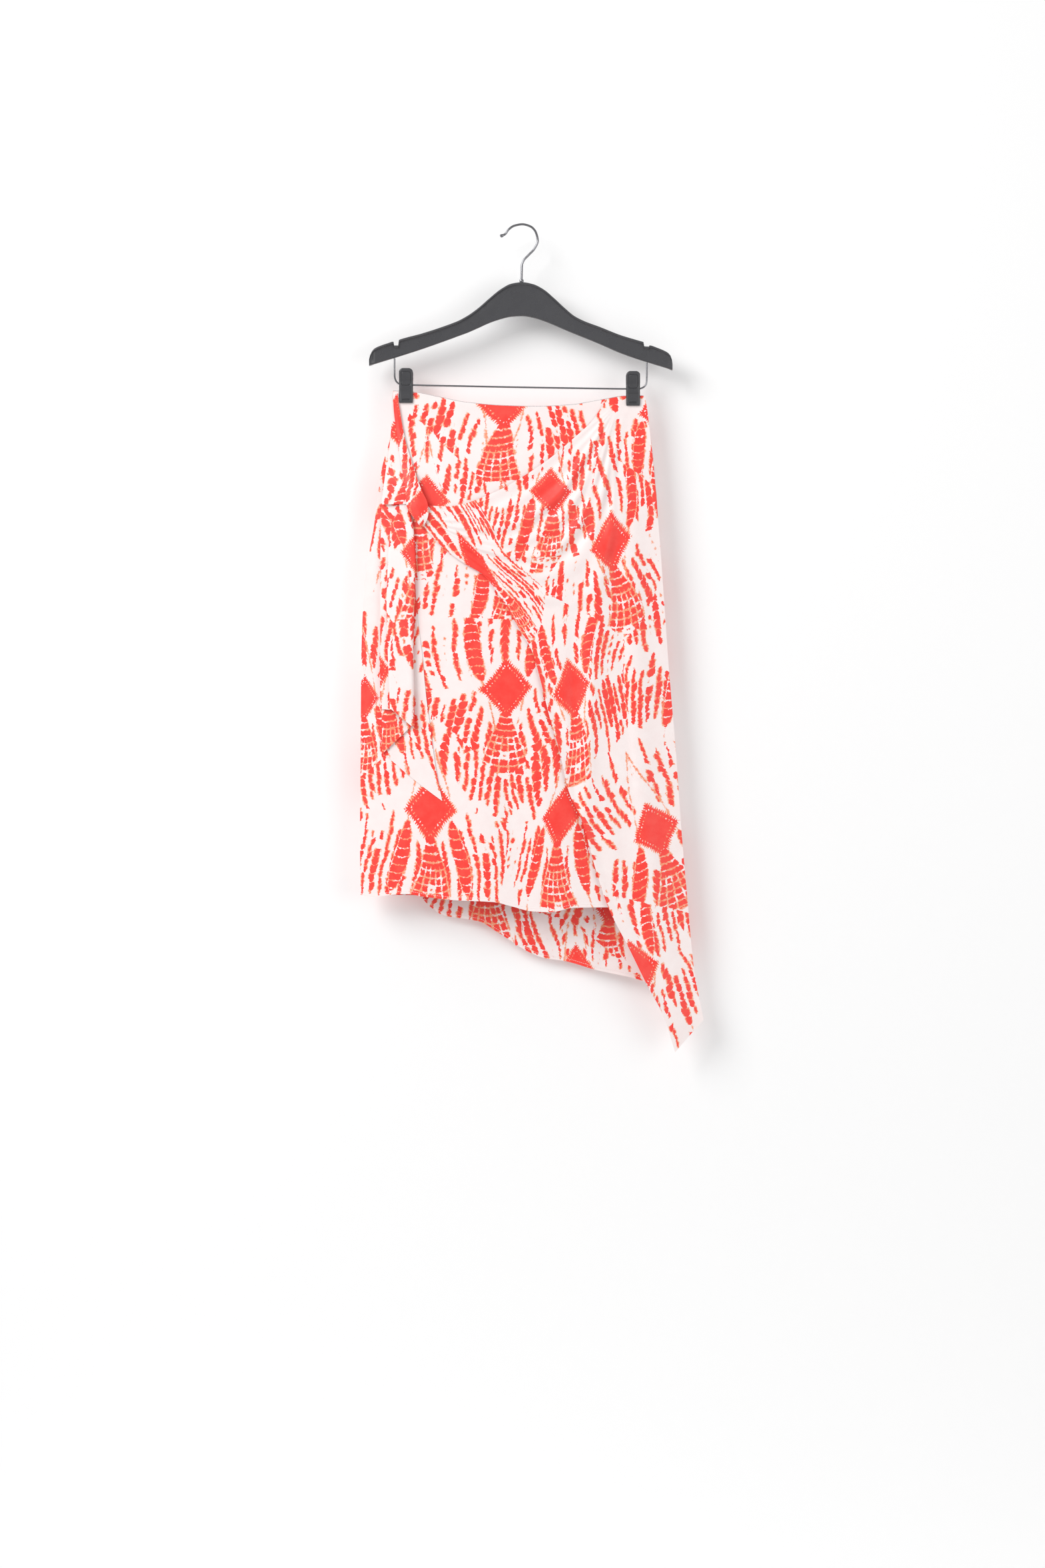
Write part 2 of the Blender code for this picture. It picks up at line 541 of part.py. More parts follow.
def build_tail(made):
    """The tail of the wrap, folded to and fro in front of the left hip."""
    walk = tail_columns()
    v = np.linspace(0.0, 1.0, 17)
    hems = [getattr(TAIL_HEM, name) for name in Drop._fields[1:]]
    x = np.zeros((len(v), len(walk)))
    z = np.zeros_like(x)
    out = np.zeros_like(x)
    for j, entry in enumerate(walk):
        kind, layer, share = entry
        hem = hems[layer + 1] if kind == "fold" else hems[layer] + share * (hems[layer + 1] - hems[layer])
        z[:, j] = TAIL_TOP + v * (hem - TAIL_TOP)
        x[:, j], out[:, j] = tail_point(entry, z[:, j])
    flat = front_outer(x, z)
    middle = place(x, flat + out, z, -1.0)
    tangent = np.gradient(np.stack([x, -(flat + out)], axis=-1), axis=1)
    tangent /= np.linalg.norm(tangent, axis=-1, keepdims=True)
    normal = np.stack([tangent[..., 1], -tangent[..., 0], np.zeros_like(x)], axis=-1)
    return sheet_solid("tail", middle + normal * WALL / 2.0, middle - normal * WALL / 2.0, made)


def arm_ring(ring):
    """One section of the hanger: a web with a lip along its top."""
    top, low, half = ring.top, ring.low, ring.half
    lip = min(LIP, (top - low) * 0.45)
    side = [
        (FLANGE - 1.3, top), (FLANGE, top - 0.9), (FLANGE, top - lip), (half, top - lip - 1.0),
        (half, low + 0.9), (half - 0.9, low),
    ]
    both = side + [(-y, z) for y, z in reversed(side)]
    return [(ring.x, y, z) for y, z in both]


def build_hanger(made):
    """The moulded hanger body, as sections from its left tip to its right tip."""
    rings = np.array([arm_ring(ring) for ring in ARMS])
    return ring_solid("hanger_body", rings, made)


def tube_rings(table, around, steps):
    """Rings of a round wire along a smooth line in the plane of the hanger."""
    xs, zs, radii = (column(table, name) for name in ("x", "z", "radius"))
    lengths = np.concatenate([[0.0], np.cumsum(np.hypot(np.diff(xs), np.diff(zs)))])
    marks = np.unique(np.concatenate([np.linspace(a, b, steps + 1) for a, b in zip(lengths[:-1], lengths[1:])]))
    px, pz = hermite(lengths, xs, marks), hermite(lengths, zs, marks)
    radius = np.interp(marks, lengths, radii)
    tx, tz = np.gradient(px), np.gradient(pz)
    norm = np.hypot(tx, tz)
    nx, nz = -tz / norm, tx / norm
    angle = np.linspace(0.0, 2.0 * math.pi, around, endpoint=False)[None, :]
    return np.stack([
        px[:, None] + radius[:, None] * np.cos(angle) * nx[:, None],
        radius[:, None] * np.sin(angle) + 0.0 * px[:, None],
        pz[:, None] + radius[:, None] * np.cos(angle) * nz[:, None],
    ], axis=-1)


def build_jaw(name, at, side, grip, made):
    """One jaw of a clip; side is -1 in front of the rod and 1 behind it."""
    rings = []
    for row in JAW:
        inner = row.inner
        if row.level < -32.0:
            inner = max(inner, grip)
        outer = inner + row.thick
        half = row.half
        ring = [
            (at.x - half, inner), (at.x - half, outer - 0.8), (at.x - half + 0.9, outer),
            (at.x + half - 0.9, outer), (at.x + half, outer - 0.8), (at.x + half, inner),
        ]
        rings.append([(x, side * y, at.level + row.level) for x, y in ring])
    return ring_solid(name, np.array(rings), made)


def clear_scene():
    """Start from an empty scene."""
    for thing in list(bpy.data.objects):
        bpy.data.objects.remove(thing, do_unlink=True)


def main():
    """Build every piece."""
    clear_scene()
    build_front_under(material("silk_front_under", "silk", 0.0, 0.5))
    build_front_over(material("silk_front_over", "silk_wrap", 0.0, 0.5))
    build_backs(material("silk_back", "silk", 0.0, 0.5))
    build_tab(material("silk_hip_tab", "silk", 0.0, 0.5))
    build_band(material("silk_knot_band", "silk_wrap", 0.0, 0.5))
    build_tail(material("silk_tail", "silk_tail", 0.0, 0.5))
    build_hanger(material("plastic_hanger_body", "plastic", 0.0, 0.4))
    ring_solid("hook", tube_rings(HOOK, 10, 2), material("steel_hook", "steel", 1.0, 0.25))
    ring_solid("rod", tube_rings(ROD, 8, 2), material("steel_rod", "steel", 1.0, 0.3))
    clip = material("plastic_clip", "plastic", 0.0, 0.45)
    build_jaw("clip_left_front", CLIP_LEFT, -1.0, 1.55, clip)
    build_jaw("clip_left_rear", CLIP_LEFT, 1.0, 1.55, clip)
    build_jaw("clip_right_front", CLIP_RIGHT, -1.0, RIGHT_GRIP, clip)
    build_jaw("clip_right_rear", CLIP_RIGHT, 1.0, 1.55, clip)


main()
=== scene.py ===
"""Dresses the solids of a wrap skirt on its clip hanger: printed silk, moulded plastic and bright steel.

Sizes in the tables are millimetres. X runs to the viewer's right, Z up, and the front looks towards -Y.
Each panel is a surface y(x, z) worked out on a grid; the print is drawn by nodes on the panel's UV map,
whose unit is one metre of cloth.
"""
import math
from collections import namedtuple

import bpy
import numpy as np
from bpy.props import FloatProperty, FloatVectorProperty, PointerProperty
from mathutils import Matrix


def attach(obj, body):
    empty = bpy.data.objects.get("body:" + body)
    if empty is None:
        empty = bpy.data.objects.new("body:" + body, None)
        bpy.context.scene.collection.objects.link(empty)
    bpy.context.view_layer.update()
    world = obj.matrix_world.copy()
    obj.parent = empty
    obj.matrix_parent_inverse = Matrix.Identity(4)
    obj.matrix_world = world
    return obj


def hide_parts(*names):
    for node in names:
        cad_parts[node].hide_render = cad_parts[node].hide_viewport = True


bl_info = {
    "name": "Wrap Skirt on a Hanger",
    "version": (1, 0, 0),
    "blender": (4, 5, 0),
    "location": "3D View > Sidebar > Skirt",
    "description": "Makes the printed silk, the trims and the hanger of a wrap skirt",
    "category": "Object",
}

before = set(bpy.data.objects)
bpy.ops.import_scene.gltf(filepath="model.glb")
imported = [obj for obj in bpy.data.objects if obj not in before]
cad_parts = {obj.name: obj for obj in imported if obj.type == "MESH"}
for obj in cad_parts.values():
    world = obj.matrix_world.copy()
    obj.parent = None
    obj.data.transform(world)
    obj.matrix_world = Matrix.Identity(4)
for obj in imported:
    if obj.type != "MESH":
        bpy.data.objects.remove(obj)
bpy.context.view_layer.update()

MM = 0.001
WALL = 1.1             # wall of the solids
AIR = 0.3
CENTRE_SEAM_X = -0.5
RELIEF = 0.6           # share of the creases' and hems' height that the panels keep
STITCH_ROW = -7        # the row of hem_rows that lies 4.1 mm above the hem
SHADE_STRIP_LAY = 0.05        # air between the front and the dark strip of painted shade along its waist
SEAM_LAY = 0.04        # and between the back and its seam allowance
STRIP_THICK = 0.4             # thickness of the dark waist strip of painted shade and of the seam allowance
SEAM_SHIFT = (37.0, 52.0)

# The photograph's frame in metres, and the point that the lamps look at.
CAMERA_AWAY = 4.0
FRAME_HEIGHT = 2.2236
FRAME_MIDDLE = (0.0004, -0.7920)
LIT_MIDDLE = (0.0, 0.0, -0.65)

Side = namedtuple("Side", "level left right")
SIDES = (
    Side(-234.0, -183.0, 171.0), Side(-262.0, -184.8, 174.5), Side(-290.0, -185.6, 180.5),
    Side(-345.0, -199.0, 187.3), Side(-425.0, -210.0, 193.2), Side(-510.0, -223.8, 199.5),
    Side(-625.0, -228.3, 207.6), Side(-750.0, -229.0, 218.0), Side(-862.0, -230.0, 226.0),
    Side(-950.0, -229.4, 233.6), Side(-1055.0, -229.0, 243.6), Side(-1126.0, -229.0, 257.0),
)
Point = namedtuple("Point", "x level")
WAIST = (
    Point(-183.0, -234.8), Point(-154.5, -236.7), Point(-120.5, -243.3), Point(-80.0, -251.5),
    Point(-30.0, -256.1), Point(20.0, -257.5), Point(67.6, -255.2), Point(114.8, -247.3),
    Point(146.0, -242.2), Point(171.0, -242.0),
)
FRONT_HEM = (
    Point(-228.0, -949.0), Point(-210.0, -952.2), Point(-186.6, -949.0), Point(-163.0, -947.6),
    Point(-139.0, -951.2), Point(-98.8, -955.9), Point(-41.0, -958.6), Point(-13.7, -965.0),
    Point(13.0, -971.6), Point(40.0, -972.9), Point(73.0, -966.6), Point(121.0, -966.2), Point(233.0, -966.0),
)
BACK_HEM = (
    Point(-229.0, -949.4), Point(-149.0, -950.4), Point(-132.0, -966.0), Point(-112.0, -979.2),
    Point(-61.0, -988.0), Point(-34.5, -1003.8), Point(14.6, -1034.0), Point(34.0, -1040.8),
    Point(62.0, -1044.8), Point(105.0, -1057.0), Point(171.5, -1072.2), Point(252.0, -1121.0),
)
Depth = namedtuple("Depth", "level front back")
DEPTHS = (
    Depth(-234.0, 0.0, 0.0), Depth(-276.0, 0.0, 0.0), Depth(-335.0, 6.5, 6.0), Depth(-430.0, 13.0, 12.0),
    Depth(-600.0, 16.0, 15.0), Depth(-900.0, 18.0, 18.0), Depth(-1180.0, 19.0, 21.0),
)
LENS_POWER = 2.6
WAIST_SAG = 5.0
WAIST_MIDDLE = -4.0
WAIST_HALF = 150.0

Fold = namedtuple("Fold", "x_top z_top x_low z_low height width")
FRONT_FOLDS = (
    Fold(-66.0, -560.0, -40.0, -970.0, 2.4, 30.0), Fold(-146.0, -780.0, -152.0, -960.0, 3.0, 26.0),
    Fold(-205.0, -600.0, -205.0, -960.0, 1.8, 18.0), Fold(30.0, -700.0, 45.0, -970.0, 2.6, 34.0),
)
BACK_FOLDS = (
    Fold(-160.0, -420.0, -172.0, -950.0, 3.0, 26.0), Fold(-84.0, -520.0, -100.0, -980.0, 3.6, 24.0),
    Fold(-30.0, -620.0, -38.0, -1000.0, 2.4, 22.0), Fold(40.0, -480.0, 52.0, -1050.0, 3.6, 26.0),
    Fold(104.0, -560.0, 120.0, -1060.0, 2.8, 22.0), Fold(160.0, -440.0, 196.0, -1090.0, 3.4, 26.0),
)
OVER_FOLDS = (
    Fold(116.0, -400.0, 92.0, -760.0, 3.4, 15.0), Fold(92.0, -720.0, 176.0, -1130.0, 2.8, 16.0),
    Fold(152.0, -380.0, 176.0, -900.0, 3.0, 17.0), Fold(178.0, -840.0, 222.0, -1150.0, 2.4, 15.0),
    Fold(34.0, -560.0, 104.0, -900.0, 2.0, 13.0),
)
FOLD_FADE = 90.0

KNOT = np.array([-135.6, -419.0])
APEX = np.array([146.0, -247.0])
Swag = namedtuple("Swag", "sag height width")
SWAGS = (
    Swag(110.0, 1.6, 42.0), Swag(240.0, 2.4, 44.0), Swag(385.0, 4.4, 56.0), Swag(540.0, 4.0, 52.0),
    Swag(690.0, 4.6, 56.0), Swag(870.0, 3.8, 70.0), Swag(1100.0, 2.8, 84.0),
)
OVER_TOP = (
    Point(-144.0, -393.0), Point(-131.0, -398.4), Point(-105.0, -399.6), Point(-84.0, -396.6),
    Point(-68.0, -391.6), Point(-31.0, -376.0), Point(2.4, -356.7), Point(34.5, -335.0),
    Point(71.4, -303.8), Point(99.7, -276.4), Point(119.0, -247.2),
)
OVER_LEFT = (
    Point(-144.0, -393.0), Point(-144.4, -410.0), Point(-144.0, -425.6), Point(-135.6, -433.0),
    Point(-120.0, -450.3), Point(-89.3, -475.8), Point(-54.3, -497.5), Point(-37.0, -519.0),
    Point(-1.4, -577.8), Point(15.6, -609.0), Point(25.0, -643.0), Point(39.2, -699.8),
    Point(52.0, -743.2), Point(65.7, -802.8), Point(83.6, -842.5), Point(103.5, -912.4),
    Point(121.4, -966.3), Point(150.7, -1023.9), Point(175.3, -1074.0), Point(198.9, -1118.4),
    Point(216.0, -1171.0),
)
OVER_RIGHT = (
    Point(119.0, -247.2), Point(146.0, -242.2), Point(171.0, -242.0), Point(180.5, -290.0),
    Point(193.2, -425.0), Point(207.6, -625.0), Point(218.0, -750.0), Point(226.0, -862.0),
    Point(233.6, -950.0), Point(243.6, -1055.0), Point(257.0, -1126.0),
)
Pair = namedtuple("Pair", "row left right")
OVER_ROWS = (
    Pair(0.00, 0.000, 0.000), Pair(0.12, 0.010, 0.070), Pair(0.42, 0.036, 0.370), Pair(0.53, 0.096, 0.446),
    Pair(0.60, 0.164, 0.494), Pair(0.80, 0.520, 0.750), Pair(1.00, 1.000, 1.000),
)
OVER_LIFT = 1.4
EDGE_ROLL = 2.2
EDGE_WIDTH = 11.0
BUNDLE = 3.6

Strip = namedtuple("Strip", "level left right offset")
TAB = (
    Strip(-237.0, -183.0, -177.0, 0.3), Strip(-262.0, -184.4, -176.0, 0.3),
    Strip(-300.0, -186.6, -172.0, 0.3),
    Strip(-345.0, -193.0, -167.0, 0.3), Strip(-362.0, -195.0, -164.0, 3.8),
    Strip(-378.0, -197.0, -162.5, 8.0),
    Strip(-396.6, -199.3, -160.5, 8.0),
)
BAND = (
    Strip(-237.0, -183.0, -175.4, 1.8), Strip(-252.0, -182.6, -175.2, 1.8),
    Strip(-262.0, -182.0, -173.5, 1.8),
    Strip(-285.0, -179.2, -169.6, 1.8), Strip(-308.0, -176.2, -164.9, 1.8),
    Strip(-338.0, -171.5, -155.5, 1.9),
    Strip(-352.0, -169.0, -151.0, 3.4), Strip(-364.0, -167.0, -147.0, 6.6),
    Strip(-378.0, -165.0, -141.5, 9.8),
    Strip(-397.0, -163.8, -133.5, 9.8), Strip(-410.0, -158.0, -132.4, 9.6),
    Strip(-419.0, -150.8, -134.4, 8.8),
    Strip(-425.0, -146.6, -137.6, 7.0), Strip(-428.6, -144.0, -140.4, 5.2),
)
BAND_DOME = 1.8

Drop = namedtuple("Drop", "level strip tuck lip fall back free")
TAIL = (
    Drop(-384.0, -197.5, -167.7, -173.6, -162.5, -196.0, -161.8),
    Drop(-403.0, -199.4, -166.8, -173.4, -160.0, -197.0, -160.0),
    Drop(-421.0, -199.9, -174.7, -183.2, -155.5, -197.6, -156.0),
    Drop(-441.0, -200.3, -178.6, -187.1, -152.6, -198.0, -154.0),
    Drop(-475.0, -200.8, -181.0, -189.5, -150.7, -198.2, -152.4),
    Drop(-538.0, -200.8, -182.9, -191.4, -152.6, -198.4, -149.8),
    Drop(-610.0, -200.8, -181.0, -189.5, -153.6, -198.5, -141.3),
    Drop(-669.0, -200.8, -179.0, -187.0, -152.6, -198.5, -135.6),
    Drop(-710.0, -200.6, -178.0, -186.0, -152.0, -198.2, -130.0),
    Drop(-762.0, -200.4, -177.0, -185.4, -151.4, -197.6, -123.3),
    Drop(-816.0, -200.0, -176.0, -185.0, -151.0, -197.0, -112.9),
)
TAIL_HEM = Drop(0.0, -685.6, -688.4, -686.5, -710.2, -748.0, -816.0)
TAIL_ORDER = (2, 1, 0, 3, 4)
TAIL_TOP = -383.0
TAIL_STEP_TOP = 1.5
TAIL_STEP_LOW = 3.0
TAIL_GAP = 0.4
LAYER_COLUMNS = 16     # grid columns over one layer of the tail
TURN_COLUMNS = 5       # and round one of its folds
FLAP_EDGE_U = 76.0     # the front flap's right edge on the tail's map

ArmRing = namedtuple("ArmRing", "x top low half")
ARMS = (
    ArmRing(-216.9, -190.0, -198.8, 6.0), ArmRing(-215.6, -184.4, -198.4, 6.0),
    ArmRing(-212.6, -178.4, -197.4, 6.0),
    ArmRing(-210.0, -175.4, -196.6, 3.6), ArmRing(-202.0, -171.4, -194.2, 3.6),
    ArmRing(-191.0, -167.6, -190.8, 3.6),
    ArmRing(-182.4, -165.2, -188.2, 3.6), ArmRing(-181.4, -170.6, -187.9, 3.6),
    ArmRing(-175.6, -170.6, -186.1, 3.6),
    ArmRing(-174.6, -162.8, -185.7, 3.6), ArmRing(-171.0, -161.4, -184.6, 3.6),
    ArmRing(-142.0, -153.6, -175.2, 3.6),
    ArmRing(-104.0, -141.0, -161.8, 3.6), ArmRing(-90.0, -135.4, -156.6, 3.6),
    ArmRing(-76.0, -127.6, -151.4, 3.6),
    ArmRing(-62.0, -117.4, -145.2, 3.6), ArmRing(-46.0, -103.4, -138.0, 3.6),
    ArmRing(-30.0, -90.6, -132.6, 3.6),
    ArmRing(-15.0, -83.0, -129.2, 3.6), ArmRing(0.0, -81.0, -128.4, 3.6), ArmRing(15.0, -83.6, -130.6, 3.6),
    ArmRing(30.0, -91.0, -135.2, 3.6), ArmRing(46.0, -104.4, -141.6, 3.6), ArmRing(60.0, -117.4, -147.8, 3.6),
    ArmRing(74.0, -129.0, -153.6, 3.6), ArmRing(90.0, -137.0, -160.0, 3.6),
    ArmRing(108.0, -143.6, -167.4, 3.6),
    ArmRing(140.0, -156.2, -181.2, 3.6), ArmRing(168.0, -164.6, -191.0, 3.6),
    ArmRing(171.8, -165.8, -192.2, 3.6),
    ArmRing(172.8, -171.8, -192.5, 3.6), ArmRing(179.4, -172.2, -194.5, 3.6),
    ArmRing(180.4, -170.4, -194.8, 3.6),
    ArmRing(190.0, -173.4, -197.8, 3.6), ArmRing(202.0, -178.4, -201.4, 3.6),
    ArmRing(207.0, -181.4, -203.0, 3.6),
    ArmRing(210.0, -185.0, -204.0, 6.0), ArmRing(212.0, -190.4, -204.8, 6.0),
    ArmRing(212.8, -197.0, -205.2, 6.0),
)
FLANGE = 6.0
LIP = 3.4
ARM_SPACING = 3.5      # longest step between two sections of the hanger
WIRE_SIDES = 20

Wire = namedtuple("Wire", "x z radius")
HOOK = (
    Wire(-31.4, -15.4, 0.3), Wire(-31.2, -15.3, 1.5), Wire(-30.6, -15.0, 2.3), Wire(-28.6, -14.4, 2.5),
    Wire(-26.8, -13.6, 1.8), Wire(-24.4, -12.4, 1.65), Wire(-19.6, -6.0, 1.65), Wire(-11.4, -0.4, 1.65),
    Wire(0.0, 1.7, 1.65), Wire(11.8, -1.4, 1.65), Wire(19.4, -9.9, 1.65), Wire(22.0, -21.7, 1.65),
    Wire(17.5, -32.6, 1.65), Wire(8.2, -42.7, 1.65), Wire(2.0, -49.6, 1.65), Wire(-0.5, -57.0, 1.65),
    Wire(-0.9, -76.0, 1.65), Wire(-0.9, -77.0, 2.9), Wire(-0.9, -79.6, 3.1), Wire(-0.9, -80.6, 2.6),
)
ROD = (
    Wire(-181.0, -188.4, 1.25), Wire(-181.0, -200.0, 1.25), Wire(-181.0, -213.0, 1.25),
    Wire(-179.0, -220.6, 1.25),
    Wire(-173.4, -225.0, 1.25), Wire(-164.0, -226.0, 1.25), Wire(-84.0, -227.8, 1.25),
    Wire(-4.0, -229.4, 1.25),
    Wire(70.0, -230.6, 1.25), Wire(146.0, -231.7, 1.25), Wire(164.0, -231.8, 1.25), Wire(172.0, -229.4, 1.25),
    Wire(176.2, -223.0, 1.25), Wire(176.7, -214.0, 1.25), Wire(176.7, -205.0, 1.25),
    Wire(176.7, -194.3, 1.25),
)
Jaw = namedtuple("Jaw", "level half inner thick")
JAW = (
    Jaw(0.0, 5.4, 7.4, 1.6), Jaw(-1.4, 8.0, 6.9, 2.6), Jaw(-4.6, 9.8, 6.2, 3.2), Jaw(-15.0, 9.9, 4.0, 3.6),
    Jaw(-19.5, 9.9, 1.55, 5.2), Jaw(-28.0, 9.9, 1.55, 4.6), Jaw(-30.5, 9.9, 1.55, 4.2),
    Jaw(-32.4, 9.9, 1.55, 4.0),
    Jaw(-44.0, 9.9, 1.55, 3.4), Jaw(-47.0, 9.7, 1.6, 3.1), Jaw(-48.4, 9.2, 1.9, 2.2),
)
CLIP_LEFT = Point(-164.7, -203.4)
CLIP_RIGHT = Point(157.1, -207.6)
RIGHT_GRIP = 3.0

# A crease is a soft ridge (height above 0) or trough (below 0) along a given line. left and right are
# its widths on the two sides of the line, as seen walking from the first point to the last.
Crease = namedtuple("Crease", "height left right line")
WRAP_CREASES = (
    Crease(-1.7, 4.0, 9.0, ((-131, -403), (-105, -405), (-79, -408), (-30, -412), (-18, -424))),
    Crease(1.5, 6.0, 9.0, ((-128, -411), (-96, -416), (-60, -421), (-30, -425), (-6, -436))),
    Crease(-1.6, 3.5, 8.0, ((-136, -429), (-98, -441), (-62, -447), (-36, -450))),
    Crease(1.6, 7.0, 5.0, ((-128, -436), (-92, -452), (-52, -462), (-14, -461))),
    Crease(2.0, 5.5, 10.0,
           ((-18, -462), (-4, -446), (20, -410), (52, -385), (70, -357), (102, -303), (131, -254))),
    Crease(-1.6, 6.0, 4.0,
           ((-6, -462), (8, -444), (31, -415), (62, -391), (83, -357), (109, -309), (134, -258))),
    Crease(2.1, 5.0, 9.0,
           ((14, -458), (30, -447), (46, -435), (71, -398), (102, -350), (115, -313), (137, -258))),
    Crease(-1.6, 7.0, 4.5, ((20, -468), (50, -446), (78, -411), (106, -366), (121, -322), (140, -266))),
    Crease(2.3, 6.0, 10.0,
           ((-36, -482), (2, -488), (30, -479), (71, -438), (108, -385), (124, -341), (143, -270))),
    Crease(-1.5, 8.0, 5.0,
           ((-20, -499), (12, -500), (42, -486), (82, -447), (122, -392), (136, -344), (151, -280))),
    Crease(1.5, 9.0, 13.0, ((2, -530), (42, -520), (88, -478), (128, -428), (148, -370), (158, -300))),
    Crease(-1.2, 8.0, 6.0, ((10, -548), (52, -540), (98, -502), (142, -447), (162, -380))),
    Crease(-1.5, 5.0, 8.0, ((-42, -515), (-18, -556), (20, -616), (36, -634))),
    Crease(1.2, 8.0, 8.0, ((-26, -520), (2, -560), (36, -612), (50, -650))),
    Crease(-1.7, 9.0, 7.0, ((70, -568), (73, -640), (71, -740), (78, -830), (86, -909))),
    Crease(1.4, 9.0, 12.0, ((92, -560), (97, -660), (94, -760), (104, -850))),
    Crease(-1.2, 6.0, 9.0, ((134, -470), (142, -600), (150, -720), (158, -840))),
    Crease(1.3, 8.0, 10.0, ((150, -880), (168, -960), (190, -1040), (208, -1100))),
    Crease(-1.1, 6.0, 6.0, ((132, -900), (152, -968), (178, -1040), (200, -1096))),
)
UNDER_CREASES = (
    Crease(0.9, 12.0, 16.0, ((-150, -300), (-98, -322), (-30, -340), (20, -342))),
    Crease(-0.8, 10.0, 9.0, ((-140, -262), (-90, -286), (-40, -300))),
    Crease(1.0, 8.0, 12.0, ((-150, -352), (-112, -362), (-76, -374), (-48, -384))),
    Crease(-0.8, 6.0, 8.0, ((-152, -364), (-120, -375), (-86, -386))),
    Crease(-0.9, 12.0, 9.0, ((-118, -480), (-112, -600), (-120, -720), (-112, -860))),
    Crease(1.0, 14.0, 11.0, ((-86, -520), (-82, -660), (-76, -800), (-82, -930))),
    Crease(-0.9, 10.0, 12.0, ((-38, -640), (-22, -760), (-14, -880), (-6, -960))),
    Crease(0.8, 8.0, 12.0, ((-172, -760), (-168, -860), (-172, -945))),
    Crease(-0.7, 8.0, 8.0, ((-206, -520), (-212, -640), (-206, -800), (-212, -930))),
)
BACK_CREASES = (
    Crease(1.2, 12.0, 16.0, ((-130, -270), (-124, -380), (-112, -520), (-120, -690))),
    Crease(-1.0, 10.0, 12.0, ((-62, -290), (-54, -430), (-62, -600), (-70, -820))),
    Crease(1.3, 12.0, 14.0, ((74, -280), (80, -400), (72, -560), (84, -760))),
    Crease(-1.0, 10.0, 10.0, ((128, -300), (134, -460), (142, -640), (156, -900))),
    Crease(1.0, 10.0, 14.0, ((18, -700), (22, -820), (30, -930), (34, -1030))),
    Crease(-0.8, 8.0, 8.0, ((84, -860), (92, -960), (100, -1050))),
    Crease(1.0, 10.0, 8.0, ((-196, -430), (-204, -600), (-206, -800), (-210, -930))),
)


def linear(code):
    """Turn an sRGB hex colour into linear red, green and blue, with a full alpha."""
    parts = np.array([int(code[k:k + 2], 16) for k in (1, 3, 5)]) / 255.0
    bright = ((parts + 0.055) / 1.055) ** 2.4
    return tuple(float(v) for v in np.where(parts <= 0.04045, parts / 12.92, bright)) + (1.0,)


def hermite(xs, ys, query):
    """A smooth curve through the knots that never swings past them, held at its ends outside them."""
    xs = np.asarray(xs, dtype=float)
    ys = np.asarray(ys, dtype=float)
    if xs[0] > xs[-1]:
        xs, ys = xs[::-1], ys[::-1]
    steps = np.diff(ys) / np.diff(xs)
    product = steps[1:] * steps[:-1]
    total = np.where(product > 0.0, steps[1:] + steps[:-1], 1.0)
    inner = np.where(product > 0.0, 2.0 * product / total, 0.0)
    slopes = np.concatenate([[steps[0]], inner, [steps[-1]]])
    query = np.clip(query, xs[0], xs[-1])
    k = np.clip(np.searchsorted(xs, query) - 1, 0, len(xs) - 2)
    width = xs[k + 1] - xs[k]
    t = (query - xs[k]) / width
    low = ys[k] * (1 + 2 * t) * (1 - t) ** 2 + ys[k + 1] * t * t * (3 - 2 * t)
    return low + width * (slopes[k] * t * (1 - t) ** 2 - slopes[k + 1] * t * t * (1 - t))


def column(table, name):
    """One named column of a table."""
    return np.array([getattr(row, name) for row in table])


def look_up(table, key, value, query):
    """The smooth curve of one column of a table against another."""
    return hermite(column(table, key), column(table, value), query)


def ease(t):
    """Smooth step from 0 to 1."""
    t = np.clip(t, 0.0, 1.0)
    return t * t * (3.0 - 2.0 * t)


def line_points(line, count):
    """Points at even spacing along a smooth line, each coordinate a curve of the length walked."""
    line = np.asarray(line, dtype=float)
    lengths = np.concatenate([[0.0], np.cumsum(np.hypot(*np.diff(line, axis=0).T))])
    marks = np.linspace(0.0, lengths[-1], count)
    return hermite(lengths, line[:, 0], marks), hermite(lengths, line[:, 1], marks)


def crease_height(creases, x, z):
    """Sum of height * taper * exp(-(distance / width) squared), the width differing on a line's two sides.

    The taper is a sine arch along the line, so a crease grows from nothing and dies away.
    """
    total = np.zeros_like(x)
    for crease in creases:
        px, pz = line_points(crease.line, 48)
        tx, tz = np.gradient(px), np.gradient(pz)
        reach = 3.0 * max(crease.left, crease.right)
        near = (x > px.min() - reach) & (x < px.max() + reach)
        near &= (z > pz.min() - reach) & (z < pz.max() + reach)
        dx = x[near][:, None] - px[None, :]
        dz = z[near][:, None] - pz[None, :]
        square = dx * dx + dz * dz
        k = np.argmin(square, axis=1)
        pick = np.arange(len(k))
        side = tx[k] * dz[pick, k] - tz[k] * dx[pick, k]
        width = np.where(side > 0.0, crease.left, crease.right)
        taper = np.sin(math.pi * np.clip(k / 47.0, 0.0, 1.0) * 0.92 + 0.12) ** 0.7
        total[near] += crease.height * taper * np.exp(-square[pick, k] / width ** 2)
    return total


def across(x, z):
    """Place across the skirt, from -1 at the left side to 1 at the right side."""
    left = look_up(SIDES, "level", "left", z)
    right = look_up(SIDES, "level", "right", z)
    return np.clip((2.0 * x - left - right) / (right - left), -1.0, 1.0)


def fold_height(folds, x, z):
    """Height of long soft folds that start at a point and grow downwards."""
    total = np.zeros_like(x)
    for fold in folds:
        along = (z - fold.z_top) / (fold.z_low - fold.z_top)
        middle = fold.x_top + along * (fold.x_low - fold.x_top)
        grow = ease((fold.z_top - z) / FOLD_FADE)
        total += fold.height * grow * np.exp(-(((x - middle) / fold.width) ** 2))
    return total


